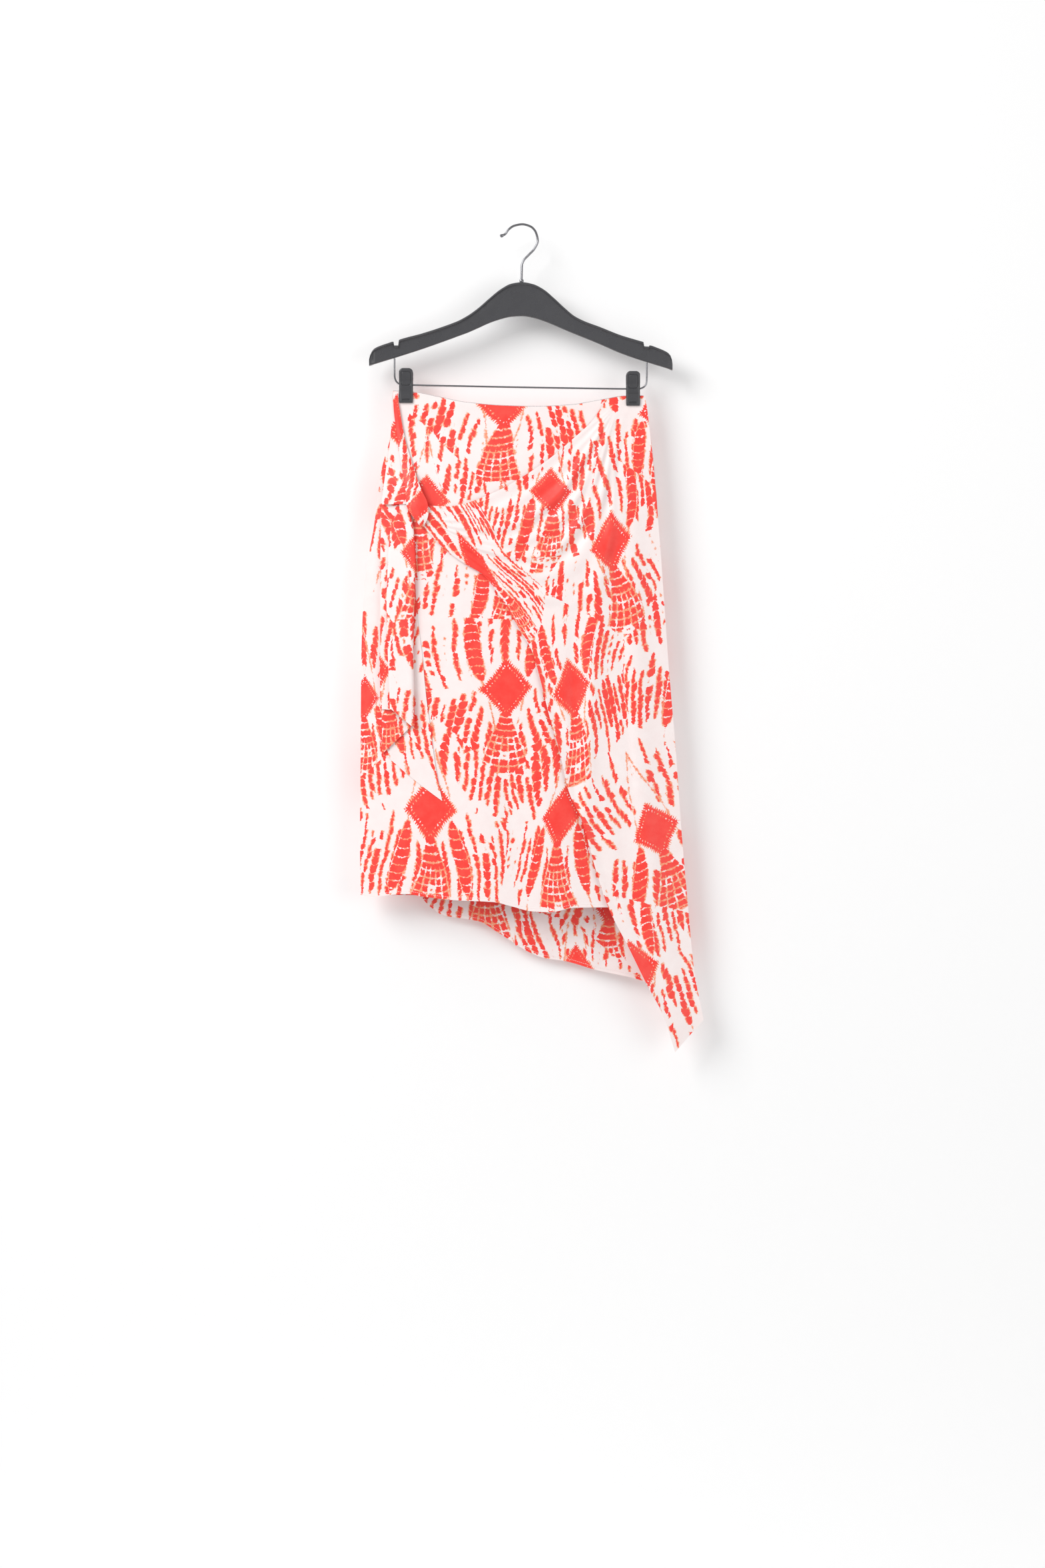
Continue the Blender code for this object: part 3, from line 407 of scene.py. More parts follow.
def section(x, z, side):
    """Depth of the hollow on one side: half of a lens, plus the sag of the waist between the clips."""
    lens = 1.0 - np.abs(across(x, z)) ** LENS_POWER
    waist = look_up(WAIST, "x", "level", x)
    sag = WAIST_SAG * np.clip(1.0 - ((x - WAIST_MIDDLE) / WAIST_HALF) ** 2, 0.0, 1.0)
    sag *= 1.0 - ease((waist - z) / 150.0)
    return AIR / 2.0 + look_up(DEPTHS, "level", side, z) * lens + sag


def front_outer(x, z):
    """Depth of the outer face of the front panel's solid."""
    rim = 1.0 - np.abs(across(x, z)) ** 8
    return section(x, z, "front") + rim * fold_height(FRONT_FOLDS, x, z) + WALL


def back_inner(x, z):
    """Depth of the inner face of the back's solid."""
    rim = 1.0 - np.abs(across(x, z)) ** 8
    return section(x, z, "back") + rim * fold_height(BACK_FOLDS, x, z)


def swag_height(x, z):
    """Swags from the right end of the waist to the knot.

    Each leaves the straight line between them by sag * t * (1 - t) ** 1.5.
    """
    span = APEX - KNOT
    length = float(np.hypot(span[0], span[1]))
    down = np.array([-span[1], span[0]]) / length
    down = down if down[1] < 0.0 else -down
    dx, dz = x - KNOT[0], z - KNOT[1]
    t = (dx * span[0] + dz * span[1]) / length ** 2
    leave = dx * down[0] + dz * down[1]
    inside = np.clip(t, 0.001, 0.999)
    weight = inside * (1.0 - inside) ** 1.5
    sag = leave / weight
    strength = np.clip(weight / 0.18, 0.0, 1.0) ** 0.7
    total = np.zeros_like(x)
    for swag in SWAGS:
        total += swag.height * np.exp(-(((sag - swag.sag) / swag.width) ** 2))
    return total * strength


def over_outer(x, z, from_edge):
    """Depth of the outer face of the wrap's solid."""
    right = look_up(SIDES, "level", "right", z)
    lift = OVER_LIFT * ease((right - x) / 90.0) * ease((-275.0 - z) / 110.0)
    folds = fold_height(OVER_FOLDS, x, z) * ease((right - x) / 26.0)
    roll = EDGE_ROLL * np.exp(-((from_edge / EDGE_WIDTH) ** 2)) * ease((-430.0 - z) / 60.0)
    knot = BUNDLE * np.exp(-(((x + 137.0) / 21.0) ** 2) - ((z + 411.0) / 15.0) ** 2)
    swags = swag_height(x, z) * ease((right - x - 22.0) / 40.0)
    return front_outer(x, z) + AIR + lift + swags + folds + roll + knot + WALL


def place(x, depth, z, side):
    """Put depths on the front (-1) or the back (1) of the hanger's plane."""
    return np.stack([x, side * depth, z], axis=-1)


def grid_faces(rows, cols, base=0, wrap=False):
    """Quads of a grid of points, closed round its columns if wrap is true."""
    i = np.arange(rows - 1)[:, None]
    j = np.arange(cols if wrap else cols - 1)[None, :]
    k = (j + 1) % cols
    corners = [i * cols + j, i * cols + k, (i + 1) * cols + k, (i + 1) * cols + j]
    return np.stack([c + 0 * (i + j) for c in corners], axis=-1).reshape(-1, 4) + base


def put_object(name, points, faces, made, uv=None, sharp=50.0, caps=()):
    """One smooth closed object, turned outwards, from quads and points in millimetres; uv is in them too."""
    points = np.asarray(points, dtype=float).reshape(-1, 3) * MM
    a, b, c, d = (points[faces[:, k]] for k in range(4))
    if np.sum(a * np.cross(b, c)) + np.sum(a * np.cross(c, d)) < 0.0:
        faces = faces[:, ::-1]
        caps = [cap[::-1] for cap in caps]
    mesh = bpy.data.meshes.new(name)
    mesh.from_pydata(points.tolist(), [], faces.tolist() + list(caps))
    if uv is not None:
        index = np.empty(len(mesh.loops), dtype=np.int32)
        mesh.loops.foreach_get("vertex_index", index)
        layer = mesh.uv_layers.new(name="cloth")
        layer.data.foreach_set("uv", (np.asarray(uv).reshape(-1, 2)[index] * MM).astype(np.float32).ravel())
    mesh.materials.append(made)
    mesh.shade_smooth()
    mesh.set_sharp_from_angle(angle=math.radians(sharp))
    mesh.validate()
    thing = bpy.data.objects.new(name, mesh)
    bpy.context.scene.collection.objects.link(thing)
    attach(thing, "root")
    return thing


def cloth_shell(name, near, far, uv, made):
    """Two faces of a cloth and the narrow wall round them, as one closed surface."""
    rows, cols = near.shape[:2]
    base = rows * cols
    points = np.concatenate([near.reshape(-1, 3), far.reshape(-1, 3)])
    ring = np.concatenate([
        np.arange(cols), np.arange(1, rows) * cols + cols - 1,
        (rows - 1) * cols + np.arange(cols - 2, -1, -1), np.arange(rows - 2, 0, -1) * cols,
    ])
    after = np.roll(ring, -1)
    faces = np.concatenate([
        grid_faces(rows, cols), grid_faces(rows, cols, base)[:, ::-1],
        np.stack([after, ring, ring + base, after + base], axis=-1),
    ])
    both = None if uv is None else np.concatenate([uv.reshape(-1, 2), uv.reshape(-1, 2)])
    return put_object(name, points, faces, made, both)


def ring_tube(name, rings, made, sharp=40.0):
    """Rings of equal length joined into a tube, closed flat at both ends."""
    count, around = rings.shape[:2]
    caps = [list(range(around - 1, -1, -1)), [(count - 1) * around + j for j in range(around)]]
    return put_object(name, rings, grid_faces(count, around, wrap=True)[:, ::-1], made, sharp=sharp,
                      caps=[cap[::-1] for cap in caps])


def hung_grid(share, v, hem, start, end):
    """Points from the waist to a hem; share runs from the curve start to the curve end at each level."""
    low = np.full(share.shape, -960.0)
    top = np.full(share.shape, -245.0)
    for _ in range(12):
        low = look_up(hem, "x", "level", start(low) + share * (end(low) - start(low)))
        top = look_up(WAIST, "x", "level", start(top) + share * (end(top) - start(top)))
    z = top[None, :] + v[:, None] * (low - top)[None, :]
    x = start(z) + share[None, :] * (end(z) - start(z))
    return x, z, (z - low[None, :])


def left_side(z):
    """The left side seam."""
    return look_up(SIDES, "level", "left", z)


def right_side(z):
    """The right side seam."""
    return look_up(SIDES, "level", "right", z)


def hem_rows(count, length):
    """Shares from 0 to 1 with extra rows close to the hem, where it is turned and stitched."""
    fine = np.array([9.0, 7.4, 6.2, 5.4, 4.9, 4.5, 4.1, 3.7, 3.2, 2.4, 1.4, 0.6, 0.0]) / length
    return np.concatenate([np.linspace(0.0, 1.0 - 12.0 / length, count), 1.0 - fine])


def hem_relief(from_hem):
    """A turned hem: two more layers of cloth up to its stitching, and the dent that the stitches pull."""
    turned = 0.5 * ease((5.3 - from_hem) / 0.8)
    dent = 0.42 * np.exp(-(((from_hem - 4.1) / 0.55) ** 2))
    return turned - dent


def new_material(name):
    """An empty node material with its shader."""
    made = bpy.data.materials.new(name)
    made.use_nodes = True
    return made, made.node_tree, made.node_tree.nodes["Principled BSDF"]


def node(tree, kind, *sources, out=0, extra=None, **settings):
    """Add a node, set its properties, fill its inputs in order and give one of its outputs back.

    A source is a socket to link, a value to set, or None; extra fills further inputs by their number.
    """
    made = tree.nodes.new(kind)
    for name, value in settings.items():
        setattr(made, name, value)
    for k, source in [*enumerate(sources), *(extra or {}).items()]:
        if isinstance(source, bpy.types.NodeSocket):
            tree.links.new(source, made.inputs[k])
        elif source is not None:
            made.inputs[k].default_value = source
    return made.outputs[out]


def work_out(tree, known, rows):
    """Add one Math node for each row (name, operation, values), a value being a number or an earlier name."""
    for name, operation, *values in rows:
        sources = [known[value] if isinstance(value, str) else value for value in values]
        known[name] = node(tree, "ShaderNodeMath", *sources, operation=operation)
    return known


# The print is tied and dyed by hand: a solid diamond with a stitched edge, rays of beads above and below it,
# and a bell of banded cells under it. u and v are millimetres along the diamond's two diagonals.
DIAMOND_ROWS = (
    ("au", "ABSOLUTE", "u"),
    ("av", "ABSOLUTE", "v"),
    ("span", "ADD", "au", "av"),
    ("run", "SUBTRACT", "au", "av"),
    ("inset", "MULTIPLY_ADD", "span", -0.707, 24.4),
    ("tooth", "PINGPONG", "run", 2.2),
    ("solid", "MULTIPLY_ADD", "tooth", 1.7, "inset"),
    ("stitch_x", "PINGPONG", "run", 3.2),
    ("stitch_y", "SUBTRACT", "inset", 3.6),
    ("stitch_xx", "MULTIPLY", "stitch_x", "stitch_x"),
    ("stitch_r", "MULTIPLY_ADD", "stitch_y", "stitch_y", "stitch_xx"),
    ("stitch_r", "SQRT", "stitch_r"),
    ("stitch", "SUBTRACT", "stitch_r", 0.85),
    ("solid", "MINIMUM", "solid", "stitch"),
)
RAY_ROWS = (
    ("up", "GREATER_THAN", "v", 0.0),
    ("outer", "MULTIPLY", "au", 0.019),
    ("outer", "MULTIPLY_ADD", "outer", "outer", 1.0),
    ("fan", "DIVIDE", "av", "outer"),
    ("fan", "MULTIPLY_ADD", "fan", 0.17, 13.5),
    ("turn", "DIVIDE", "au", "fan"),
    ("ray", "ROUND", "turn"),
    ("off", "SUBTRACT", "turn", "ray"),
    ("off", "MULTIPLY", "off", "fan"),
)
BEAD_ROWS = (
    ("rim", "MULTIPLY_ADD", "au", -0.85, 31.0),
    ("rim", "MAXIMUM", "rim", -12.0),
    ("start", "MULTIPLY_ADD", "r1", 34.0, 3.0),
    ("along", "SUBTRACT", "av", "rim"),
    ("along", "SUBTRACT", "along", "start"),
    ("length", "MULTIPLY_ADD", "r2", 66.0, 52.0),
    ("t", "DIVIDE", "along", "length"),
    ("rest", "SUBTRACT", 1.0, "t"),
    ("arch", "MULTIPLY", "t", "rest"),
    ("arch", "MAXIMUM", "arch", 0.0),
    ("arch", "POWER", "arch", 0.42),
    ("thick", "POWER", "r3", 1.7),
    ("thick", "MULTIPLY_ADD", "thick", 4.6, 2.8),
    ("half", "MULTIPLY", "thick", "arch"),
    ("half", "MULTIPLY", "half", 2.0),
    ("pitch", "MULTIPLY_ADD", "thick", 0.8, 6.6),
    ("bow", "MULTIPLY", "off", "off"),
    ("bowed", "MULTIPLY_ADD", "bow", 0.05, "along"),
    ("count", "DIVIDE", "bowed", "pitch"),
    ("bead", "FLOOR", "count"),
    ("gap", "PINGPONG", "count", 0.5),
    ("gap", "MULTIPLY_ADD", "gap", -2.0, 1.0),
    ("gap", "POWER", "gap", 3.2),
)
CHAIN_ROWS = (
    ("vary", "MULTIPLY_ADD", "r4", 0.8, 0.6),
    ("half", "MULTIPLY", "half", "vary"),
    ("sway", "MULTIPLY_ADD", "r4", 4.4, -2.2),
    ("side", "ADD", "off", "sway"),
    ("side", "ABSOLUTE", "side"),
    ("side", "DIVIDE", "side", "half"),
    ("side", "POWER", "side", 2.4),
    ("chain", "ADD", "side", "gap"),
    ("chain", "POWER", "chain", 0.4),
    ("chain", "SUBTRACT", 1.0, "chain"),
    ("chain", "MULTIPLY", "chain", "half"),
    ("lost", "LESS_THAN", "r4", 0.09),
    ("rare", "LESS_THAN", "r2", 0.1),
    ("lost", "ADD", "lost", "rare"),
    ("chain", "MULTIPLY_ADD", "lost", -4.0, "chain"),
    ("none", "LESS_THAN", "arch", 0.03),
    ("chain", "MULTIPLY_ADD", "none", -6.0, "chain"),
)
ARM_ROWS = (
    ("turned", "GREATER_THAN", "seed", 0.45),
    ("sign", "MULTIPLY_ADD", "turned", 2.0, -1.0),
    ("arm_v", "MULTIPLY", "v", "sign"),
    ("arm_t", "MULTIPLY_ADD", "arm_v", 0.0118, -0.14),
    ("arm_end", "SUBTRACT", 1.0, "arm_t"),
    ("arm", "MULTIPLY", "arm_t", "arm_end"),
    ("arm", "MAXIMUM", "arm", 0.0),
    ("arm", "SQRT", "arm"),
    ("arm_u", "MULTIPLY_ADD", "arm_v", -0.28, "au"),
    ("arm_u", "SUBTRACT", "arm_u", 30.0),
    ("arm_side", "ABSOLUTE", "arm_u"),
    ("arm", "MULTIPLY", "arm", 20.0),
    ("arm", "SUBTRACT", "arm", "arm_side"),
    ("arm_clear", "MULTIPLY_ADD", "arm", -1.0, -1.3),
    ("arm_bow", "MULTIPLY", "arm_u", "arm_u"),
    ("arm_band", "MULTIPLY_ADD", "arm_bow", 0.02, "arm_v"),
    ("arm_band", "DIVIDE", "arm_band", 10.4),
    ("arm_gap", "PINGPONG", "arm_band", 0.5),
    ("arm_gap", "MULTIPLY_ADD", "arm_gap", 10.4, -0.5),
    ("arm", "SMOOTH_MIN", "arm", "arm_gap", 1.3),
    ("chain", "MINIMUM", "chain", "arm_clear"),
    ("chain", "MAXIMUM", "chain", "arm"),
)
BELL_ROWS = (
    ("hang", "SUBTRACT", "av", 30.0),
    ("mouth", "MULTIPLY_ADD", "hang", 0.34, 6.5),
    ("within", "SUBTRACT", "mouth", "au"),
    ("drop", "SUBTRACT", "av", 8.0),
    ("drop_2", "MULTIPLY", "drop", "drop"),
    ("reach", "MULTIPLY_ADD", "au", "au", "drop_2"),
    ("reach", "SQRT", "reach"),
    ("band", "DIVIDE", "reach", 9.6),
    ("band_no", "FLOOR", "band"),
    ("band_gap", "PINGPONG", "band", 0.5),
    ("band_gap", "MULTIPLY_ADD", "band_gap", 9.6, -1.0),
    ("lane", "DIVIDE", "au", "mouth"),
    ("lane", "MULTIPLY_ADD", "lane", 2.5, 0.5),
    ("lane_no", "FLOOR", "lane"),
    ("lane_gap", "PINGPONG", "lane", 0.5),
    ("lane_gap", "MULTIPLY", "lane_gap", "mouth"),
    ("lane_gap", "MULTIPLY_ADD", "lane_gap", 0.4, -1.1),
    ("near", "MULTIPLY_ADD", "hang", -0.16, 6.0),
    ("near", "MAXIMUM", "near", 0.0),
    ("lane_gap", "ADD", "lane_gap", "near"),
)
BELL_END_ROWS = (
    ("thin", "MULTIPLY_ADD", "hang", 0.006, -0.22),
    ("gone", "LESS_THAN", "r5", "thin"),
    ("bell", "SMOOTH_MIN", "band_gap", "lane_gap", 1.2),
    ("bell", "SMOOTH_MIN", "bell", "within", 1.2),
    ("bell", "MINIMUM", "bell", "hang"),
    ("tip", "SUBTRACT", 86.0, "hang"),
    ("bell", "MINIMUM", "bell", "tip"),
    ("bell", "MULTIPLY_ADD", "gone", -3.0, "bell"),
    ("bell", "MULTIPLY_ADD", "up", -90.0, "bell"),
    ("clear", "MULTIPLY_ADD", "within", -1.0, -1.6),
    ("clear", "MULTIPLY_ADD", "up", 90.0, "clear"),
    ("chain", "MINIMUM", "chain", "clear"),
    ("dye", "MAXIMUM", "chain", "bell"),
    ("dye", "MAXIMUM", "dye", "solid"),
)


def motif_group():
    """The tied motif as a node group: from (u, v, seed) to a field that is above 0 where the dye took."""
    group = bpy.data.node_groups.get("tied_motif")
    if group:
        return group
    group = bpy.data.node_groups.new("tied_motif", "ShaderNodeTree")
    group.interface.new_socket("Place", in_out="INPUT", socket_type="NodeSocketVector")
    group.interface.new_socket("Dye", in_out="OUTPUT", socket_type="NodeSocketFloat")
    place_in = group.nodes.new("NodeGroupInput").outputs[0]
    split = node(group, "ShaderNodeSeparateXYZ", place_in).node
    known = {"u": split.outputs[0], "v": split.outputs[1], "seed": split.outputs[2]}
    work_out(group, known, DIAMOND_ROWS + RAY_ROWS)
    key = node(group, "ShaderNodeCombineXYZ", known["ray"], known["up"], known["seed"])
    chance = node(group, "ShaderNodeTexWhiteNoise", key, out=1)
    parts = node(group, "ShaderNodeSeparateXYZ", chance).node
    known.update(r1=parts.outputs[0], r2=parts.outputs[1], r3=parts.outputs[2])
    work_out(group, known, BEAD_ROWS)
    key = node(group, "ShaderNodeCombineXYZ", known["bead"], known["ray"], known["seed"])
    known["r4"] = node(group, "ShaderNodeTexWhiteNoise", key)
    work_out(group, known, CHAIN_ROWS + ARM_ROWS + BELL_ROWS)
    key = node(group, "ShaderNodeCombineXYZ", known["band_no"], known["lane_no"], known["seed"])
    known["r5"] = node(group, "ShaderNodeTexWhiteNoise", key)
    work_out(group, known, BELL_END_ROWS)
    made = group.nodes.new("NodeGroupOutput")
    group.links.new(known["dye"], made.inputs[0])
    return group


# Where each panel's motifs lie, in the photograph's order: centre, the vector to the diamond's right corner
# and the vector to its top corner, all in millimetres of the panel's own map, and the seed of its rays.
Motif = namedtuple("Motif", "x z right_x right_z top_x top_z seed")
WRAP_MOTIFS = (
    Motif(128.0, -448.4, 25.0, 9.5, -6.1, 36.9, 0.71), Motif(71.3, -658.1, 21.7, 7.6, -0.9, 37.8, 0.66),
    Motif(191.4, -855.7, 29.8, 14.6, -11.8, 32.1, 0.37), Motif(40.2, -377.5, 22.7, 0.0, 1.9, 32.1, 0.41),
    Motif(165.0, -1050.4, 23.0, 8.0, -8.0, 34.0, 0.53), Motif(-62.0, -478.0, 10.1, 8.1, -27.3, 34.3, 0.67),
    Motif(196.0, -262.0, 26.0, 4.0, -4.0, 32.0, 0.11), Motif(247.0, -590.0, 27.0, 6.0, -4.0, 36.0, 0.24),
)
FRONT_MOTIFS = (
    Motif(-22.2, -652.5, 33.1, 0.0, 0.0, 34.0, 0.62), Motif(-222.5, -669.5, 21.0, 0.0, 0.0, 32.0, 0.29),
    Motif(-127.0, -829.2, 31.0, -2.0, 0.0, 40.0, 0.31), Motif(58.0, -836.0, 24.0, 2.0, 0.0, 39.0, 0.43),
    Motif(-29.8, -250.0, 33.0, 0.0, 0.0, 33.0, 0.59), Motif(-141.0, -391.0, 30.0, -4.0, 2.0, 31.0, 0.18),
    Motif(-20.0, -470.0, 31.0, 0.0, 0.0, 33.0, 0.34),
)
BACK_MOTIFS = (
    Motif(-150.0, -330.0, 32.0, 0.0, 0.0, 34.0, 0.19), Motif(62.0, -330.0, 32.0, 0.0, 0.0, 34.0, 0.27),
    Motif(-45.0, -520.0, 32.0, 0.0, 0.0, 34.0, 0.33), Motif(165.0, -520.0, 32.0, 0.0, 0.0, 34.0, 0.47),
    Motif(-150.0, -712.0, 32.0, 0.0, 0.0, 34.0, 0.51), Motif(62.0, -712.0, 32.0, 0.0, 0.0, 34.0, 0.63),
    Motif(-45.0, -902.0, 32.0, 0.0, 0.0, 34.0, 0.79), Motif(165.0, -902.0, 32.0, 0.0, 0.0, 34.0, 0.83),
    Motif(60.0, -1106.0, 32.0, 0.0, 0.0, 34.0, 0.88), Motif(118.0, -1010.0, 26.0, 0.0, 0.0, 38.0, 0.22),
)
TAIL_MOTIFS = (
    Motif(90.0, -462.0, 30.0, 0.0, 0.0, 34.0, 0.52), Motif(2.0, -632.0, 26.0, 0.0, 0.0, 34.0, 0.71),
    Motif(122.0, -640.0, 28.0, 0.0, 0.0, 38.0, 0.39),
)
TAB_MOTIFS = (
    Motif(-160.0, -290.0, 26.0, 0.0, 0.0, 34.0, 0.57), Motif(-204.0, -424.0, 26.0, 0.0, 0.0, 34.0, 0.69),
)
BAND_MOTIFS = (
    Motif(-180.0, -282.0, 12.0, 0.0, 6.0, 40.0, 0.15), Motif(-142.0, -396.0, 20.0, 6.0, 8.0, 34.0, 0.25),
)


def cloth_place(tree):
    """The cloth's map in millimetres, the same with the wander of a hand-dyed edge, and the dye's swell."""
    flat = node(tree, "ShaderNodeUVMap", uv_map="cloth")
    flat = node(tree, "ShaderNodeVectorMath", flat, extra={3: 1000.0}, operation="SCALE")
    slow = node(tree, "ShaderNodeTexNoise", flat, None, 0.009, 0.0, 0.5, out=1, noise_dimensions="2D")
    slow = node(tree, "ShaderNodeVectorMath", slow, (0.5, 0.5, 0.5), operation="SUBTRACT")
    slow = node(tree, "ShaderNodeVectorMath", slow, (24.0, 18.0, 0.0), operation="MULTIPLY")
    ragged = node(tree, "ShaderNodeTexNoise", flat, None, 0.27, 2.0, 0.6, out=1, noise_dimensions="2D")
    shift = node(tree, "ShaderNodeVectorMath", ragged, (3.6, 3.6, 0.0), slow, operation="MULTIPLY_ADD")
    wandering = node(tree, "ShaderNodeVectorMath", flat, shift, operation="ADD")
    swell = node(tree, "ShaderNodeSeparateXYZ", ragged, out=2)
    return flat, wandering, swell


def nearest_motif(tree, place_mm, motifs):
    """The (u, v, seed) of the nearest motif; u and v come from the inverse of its two vectors."""
    best = 1.0e4
    chosen = (0.0, 0.0, 0.0)
    for motif in motifs:
        area = (motif.right_x * motif.top_z - motif.right_z * motif.top_x) / 33.0
        rel = node(tree, "ShaderNodeVectorMath", place_mm, (motif.x, motif.z, 0.0), operation="SUBTRACT")
        u = node(tree, "ShaderNodeVectorMath", rel, (motif.top_z / area, -motif.top_x / area, 0.0),
                 out=1, operation="DOT_PRODUCT")
        v = node(tree, "ShaderNodeVectorMath", rel, (-motif.right_z / area, motif.right_x / area, 0.0),
                 out=1, operation="DOT_PRODUCT")
        here = node(tree, "ShaderNodeCombineXYZ", u, v, motif.seed)
        far = node(tree, "ShaderNodeVectorMath", here, out=1, operation="LENGTH")
        closer = node(tree, "ShaderNodeMath", far, best, operation="LESS_THAN")
        best = node(tree, "ShaderNodeMath", far, best, operation="MINIMUM")
        chosen = node(tree, "ShaderNodeMix", closer, extra={4: chosen, 5: here}, out=1, data_type="VECTOR")
    return chosen


def silk(name, motifs):
    """Washed silk crepe, block-tied and dyed.

    The long dyed fibres give a soft broad gloss, the crepe twist a fine slanting grain.
    """
    made, tree, shader = new_material(name)
    tones = bpy.context.scene.skirt_colours
    flat, wandering, swell = cloth_place(tree)
    dye = tree.nodes.new("ShaderNodeGroup")
    dye.node_tree = motif_group()
    tree.links.new(nearest_motif(tree, wandering, motifs), dye.inputs[0])
    dye = node(tree, "ShaderNodeMath", swell, 3.0, dye.outputs[0], operation="MULTIPLY_ADD")
    dye = node(tree, "ShaderNodeMath", dye, -1.6, operation="ADD")
    cloud = node(tree, "ShaderNodeTexNoise", flat, None, 0.055, 3.0, 0.6, noise_dimensions="2D")
    taken = node(tree, "ShaderNodeMapRange", dye, -0.2, 0.25, 0.0, 1.0)
    bleed_edge = node(tree, "ShaderNodeMath", cloud, 16.0, -6.8, operation="MULTIPLY_ADD")
    bleed = node(tree, "ShaderNodeMath", dye, bleed_edge, operation="ADD")
    bleed = node(tree, "ShaderNodeMapRange", bleed, -1.0, 0.8, 0.0, 0.9)
    near = node(tree, "ShaderNodeMapRange", dye, -2.6, -0.8, 0.0, 1.0)
    bleed = node(tree, "ShaderNodeMath", bleed, near, operation="MULTIPLY")
    ground = node(tree, "ShaderNodeMix", extra={0: cloud, 6: tones.ground, 7: tones.ground_warm},
                  out=2, data_type="RGBA")
    bled = node(tree, "ShaderNodeMix", extra={0: bleed, 6: ground, 7: tones.orange}, out=2, data_type="RGBA")
    uneven = node(tree, "ShaderNodeMapRange", cloud, 0.35, 0.72, 0.0, 1.0)
    red = node(tree, "ShaderNodeMix", extra={0: uneven, 6: tones.red, 7: tones.red_light},
               out=2, data_type="RGBA")
    colour = node(tree, "ShaderNodeMix", extra={0: taken, 6: bled, 7: red}, out=2, data_type="RGBA")
    tree.links.new(colour, shader.inputs["Base Color"])
    slant = node(tree, "ShaderNodeMapping", flat, None, (0.0, 0.0, math.radians(38.0)), (1.7, 0.55, 1.0))
    grain = node(tree, "ShaderNodeTexNoise", slant, None, 0.95, 1.0, 0.5, noise_dimensions="2D")
    bump = node(tree, "ShaderNodeBump", 0.22, 0.0006, None, grain)
    tree.links.new(bump, shader.inputs["Normal"])
    gloss = node(tree, "ShaderNodeMapRange", grain, 0.3, 0.7, 0.40, 0.52)
    tree.links.new(gloss, shader.inputs["Roughness"])
    return made


class SkirtSizes(bpy.types.PropertyGroup):
    """Sizes that a user would change."""
    wall: FloatProperty(name="Cloth wall", description="Thickness of the drawn silk", default=0.0005,
                        unit="LENGTH")
    stitch: FloatProperty(name="Stitch", description="Length of one hem stitch", default=0.0021,
                          unit="LENGTH")
    pitch: FloatProperty(name="Stitch pitch", description="From one stitch to the next", default=0.0028,
                         unit="LENGTH")
    thread: FloatProperty(name="Thread", description="Width of the hem thread", default=0.0005, unit="LENGTH")


def tone(name, description, code):
    """One colour property."""
    return FloatVectorProperty(name=name, description=description, default=linear(code), subtype="COLOR",
                               size=4, min=0.0, max=1.0)


class SkirtColours(bpy.types.PropertyGroup):
    """Colours that a user would change."""
    ground: tone("Ground", "Undyed silk", "#FBF1EF")
    ground_warm: tone("Warm ground", "Undyed silk where it is a little pinker", "#F8E7E5")
    red: tone("Red", "Dye at full strength", "#FB3A30")
    red_light: tone("Light red", "Dye where it took less", "#FC4A3F")
    orange: tone("Orange", "Thin dye at the edge of a tie", "#F8905C")


def cloth_wall():
    """Thickness of the drawn silk in millimetres."""
    return bpy.context.scene.skirt_sizes.wall / MM


def thread_and_shade_strip(name, code):
    """Spun thread, also used for the dark waist strip that is painted shade: matt and fibrous, a little
    lighter and darker by its twist.
    """
    made, tree, shader = new_material(name)
    spot = node(tree, "ShaderNodeTexCoord", out=3)
    # The real twist repeats every 0.3 mm; it is drawn at 0.6 mm so that it still shows.
    twist = node(tree, "ShaderNodeTexNoise", spot, None, 1700.0, 1.0, 0.5)
    shade = node(tree, "ShaderNodeMix", extra={0: twist, 6: linear(code), 7: linear("#FFFFFF")},
                 out=2, data_type="RGBA")
    tree.links.new(shade, shader.inputs["Base Color"])
    shader.inputs["Roughness"].default_value = 0.72
    return made


def stitch_row(name, line, side, made):
    """Hem stitches along a line on one face: short threads of six sides whose ends dip into the cloth."""
    sizes = bpy.context.scene.skirt_sizes
    pitch, length, half = sizes.pitch / MM, sizes.stitch / MM, sizes.thread / MM / 2.0
    run = np.concatenate([[0.0], np.cumsum(np.linalg.norm(np.diff(line, axis=0), axis=1))])
    marks = np.arange(pitch, run[-1] - pitch, pitch)[:, None] + length * np.array([-0.5, -0.28, 0.28, 0.5])
    spots = np.stack([np.interp(marks, run, line[:, k]) for k in range(3)], axis=-1)
    out = np.array([0.0, side, 0.0])
    spots = spots + (half * np.array([-1.0, 0.5, 0.5, -1.0]))[None, :, None] * out
    ahead = spots[:, -1:] - spots[:, :1]
    across_it = np.cross(ahead, out)
    across_it /= np.linalg.norm(across_it, axis=-1, keepdims=True)
    turn = np.linspace(0.0, 2.0 * math.pi, 6, endpoint=False)[None, None, :, None]
    radius = half * np.array([0.6, 1.0, 1.0, 0.6])[None, :, None, None]
    rings = spots[:, :, None, :] + radius * (np.cos(turn) * across_it[:, :, None, :] + np.sin(turn) * out)
    base = 24 * np.arange(len(marks))[:, None, None]
    faces = (grid_faces(4, 6, wrap=True)[:, ::-1][None] + base).reshape(-1, 4)
    ends = (np.array([[0, 1, 2, 3, 4, 5], [23, 22, 21, 20, 19, 18]])[None] + base).reshape(-1, 6)
    piece = put_object(name, rings, faces, made, caps=ends.tolist())
    return piece


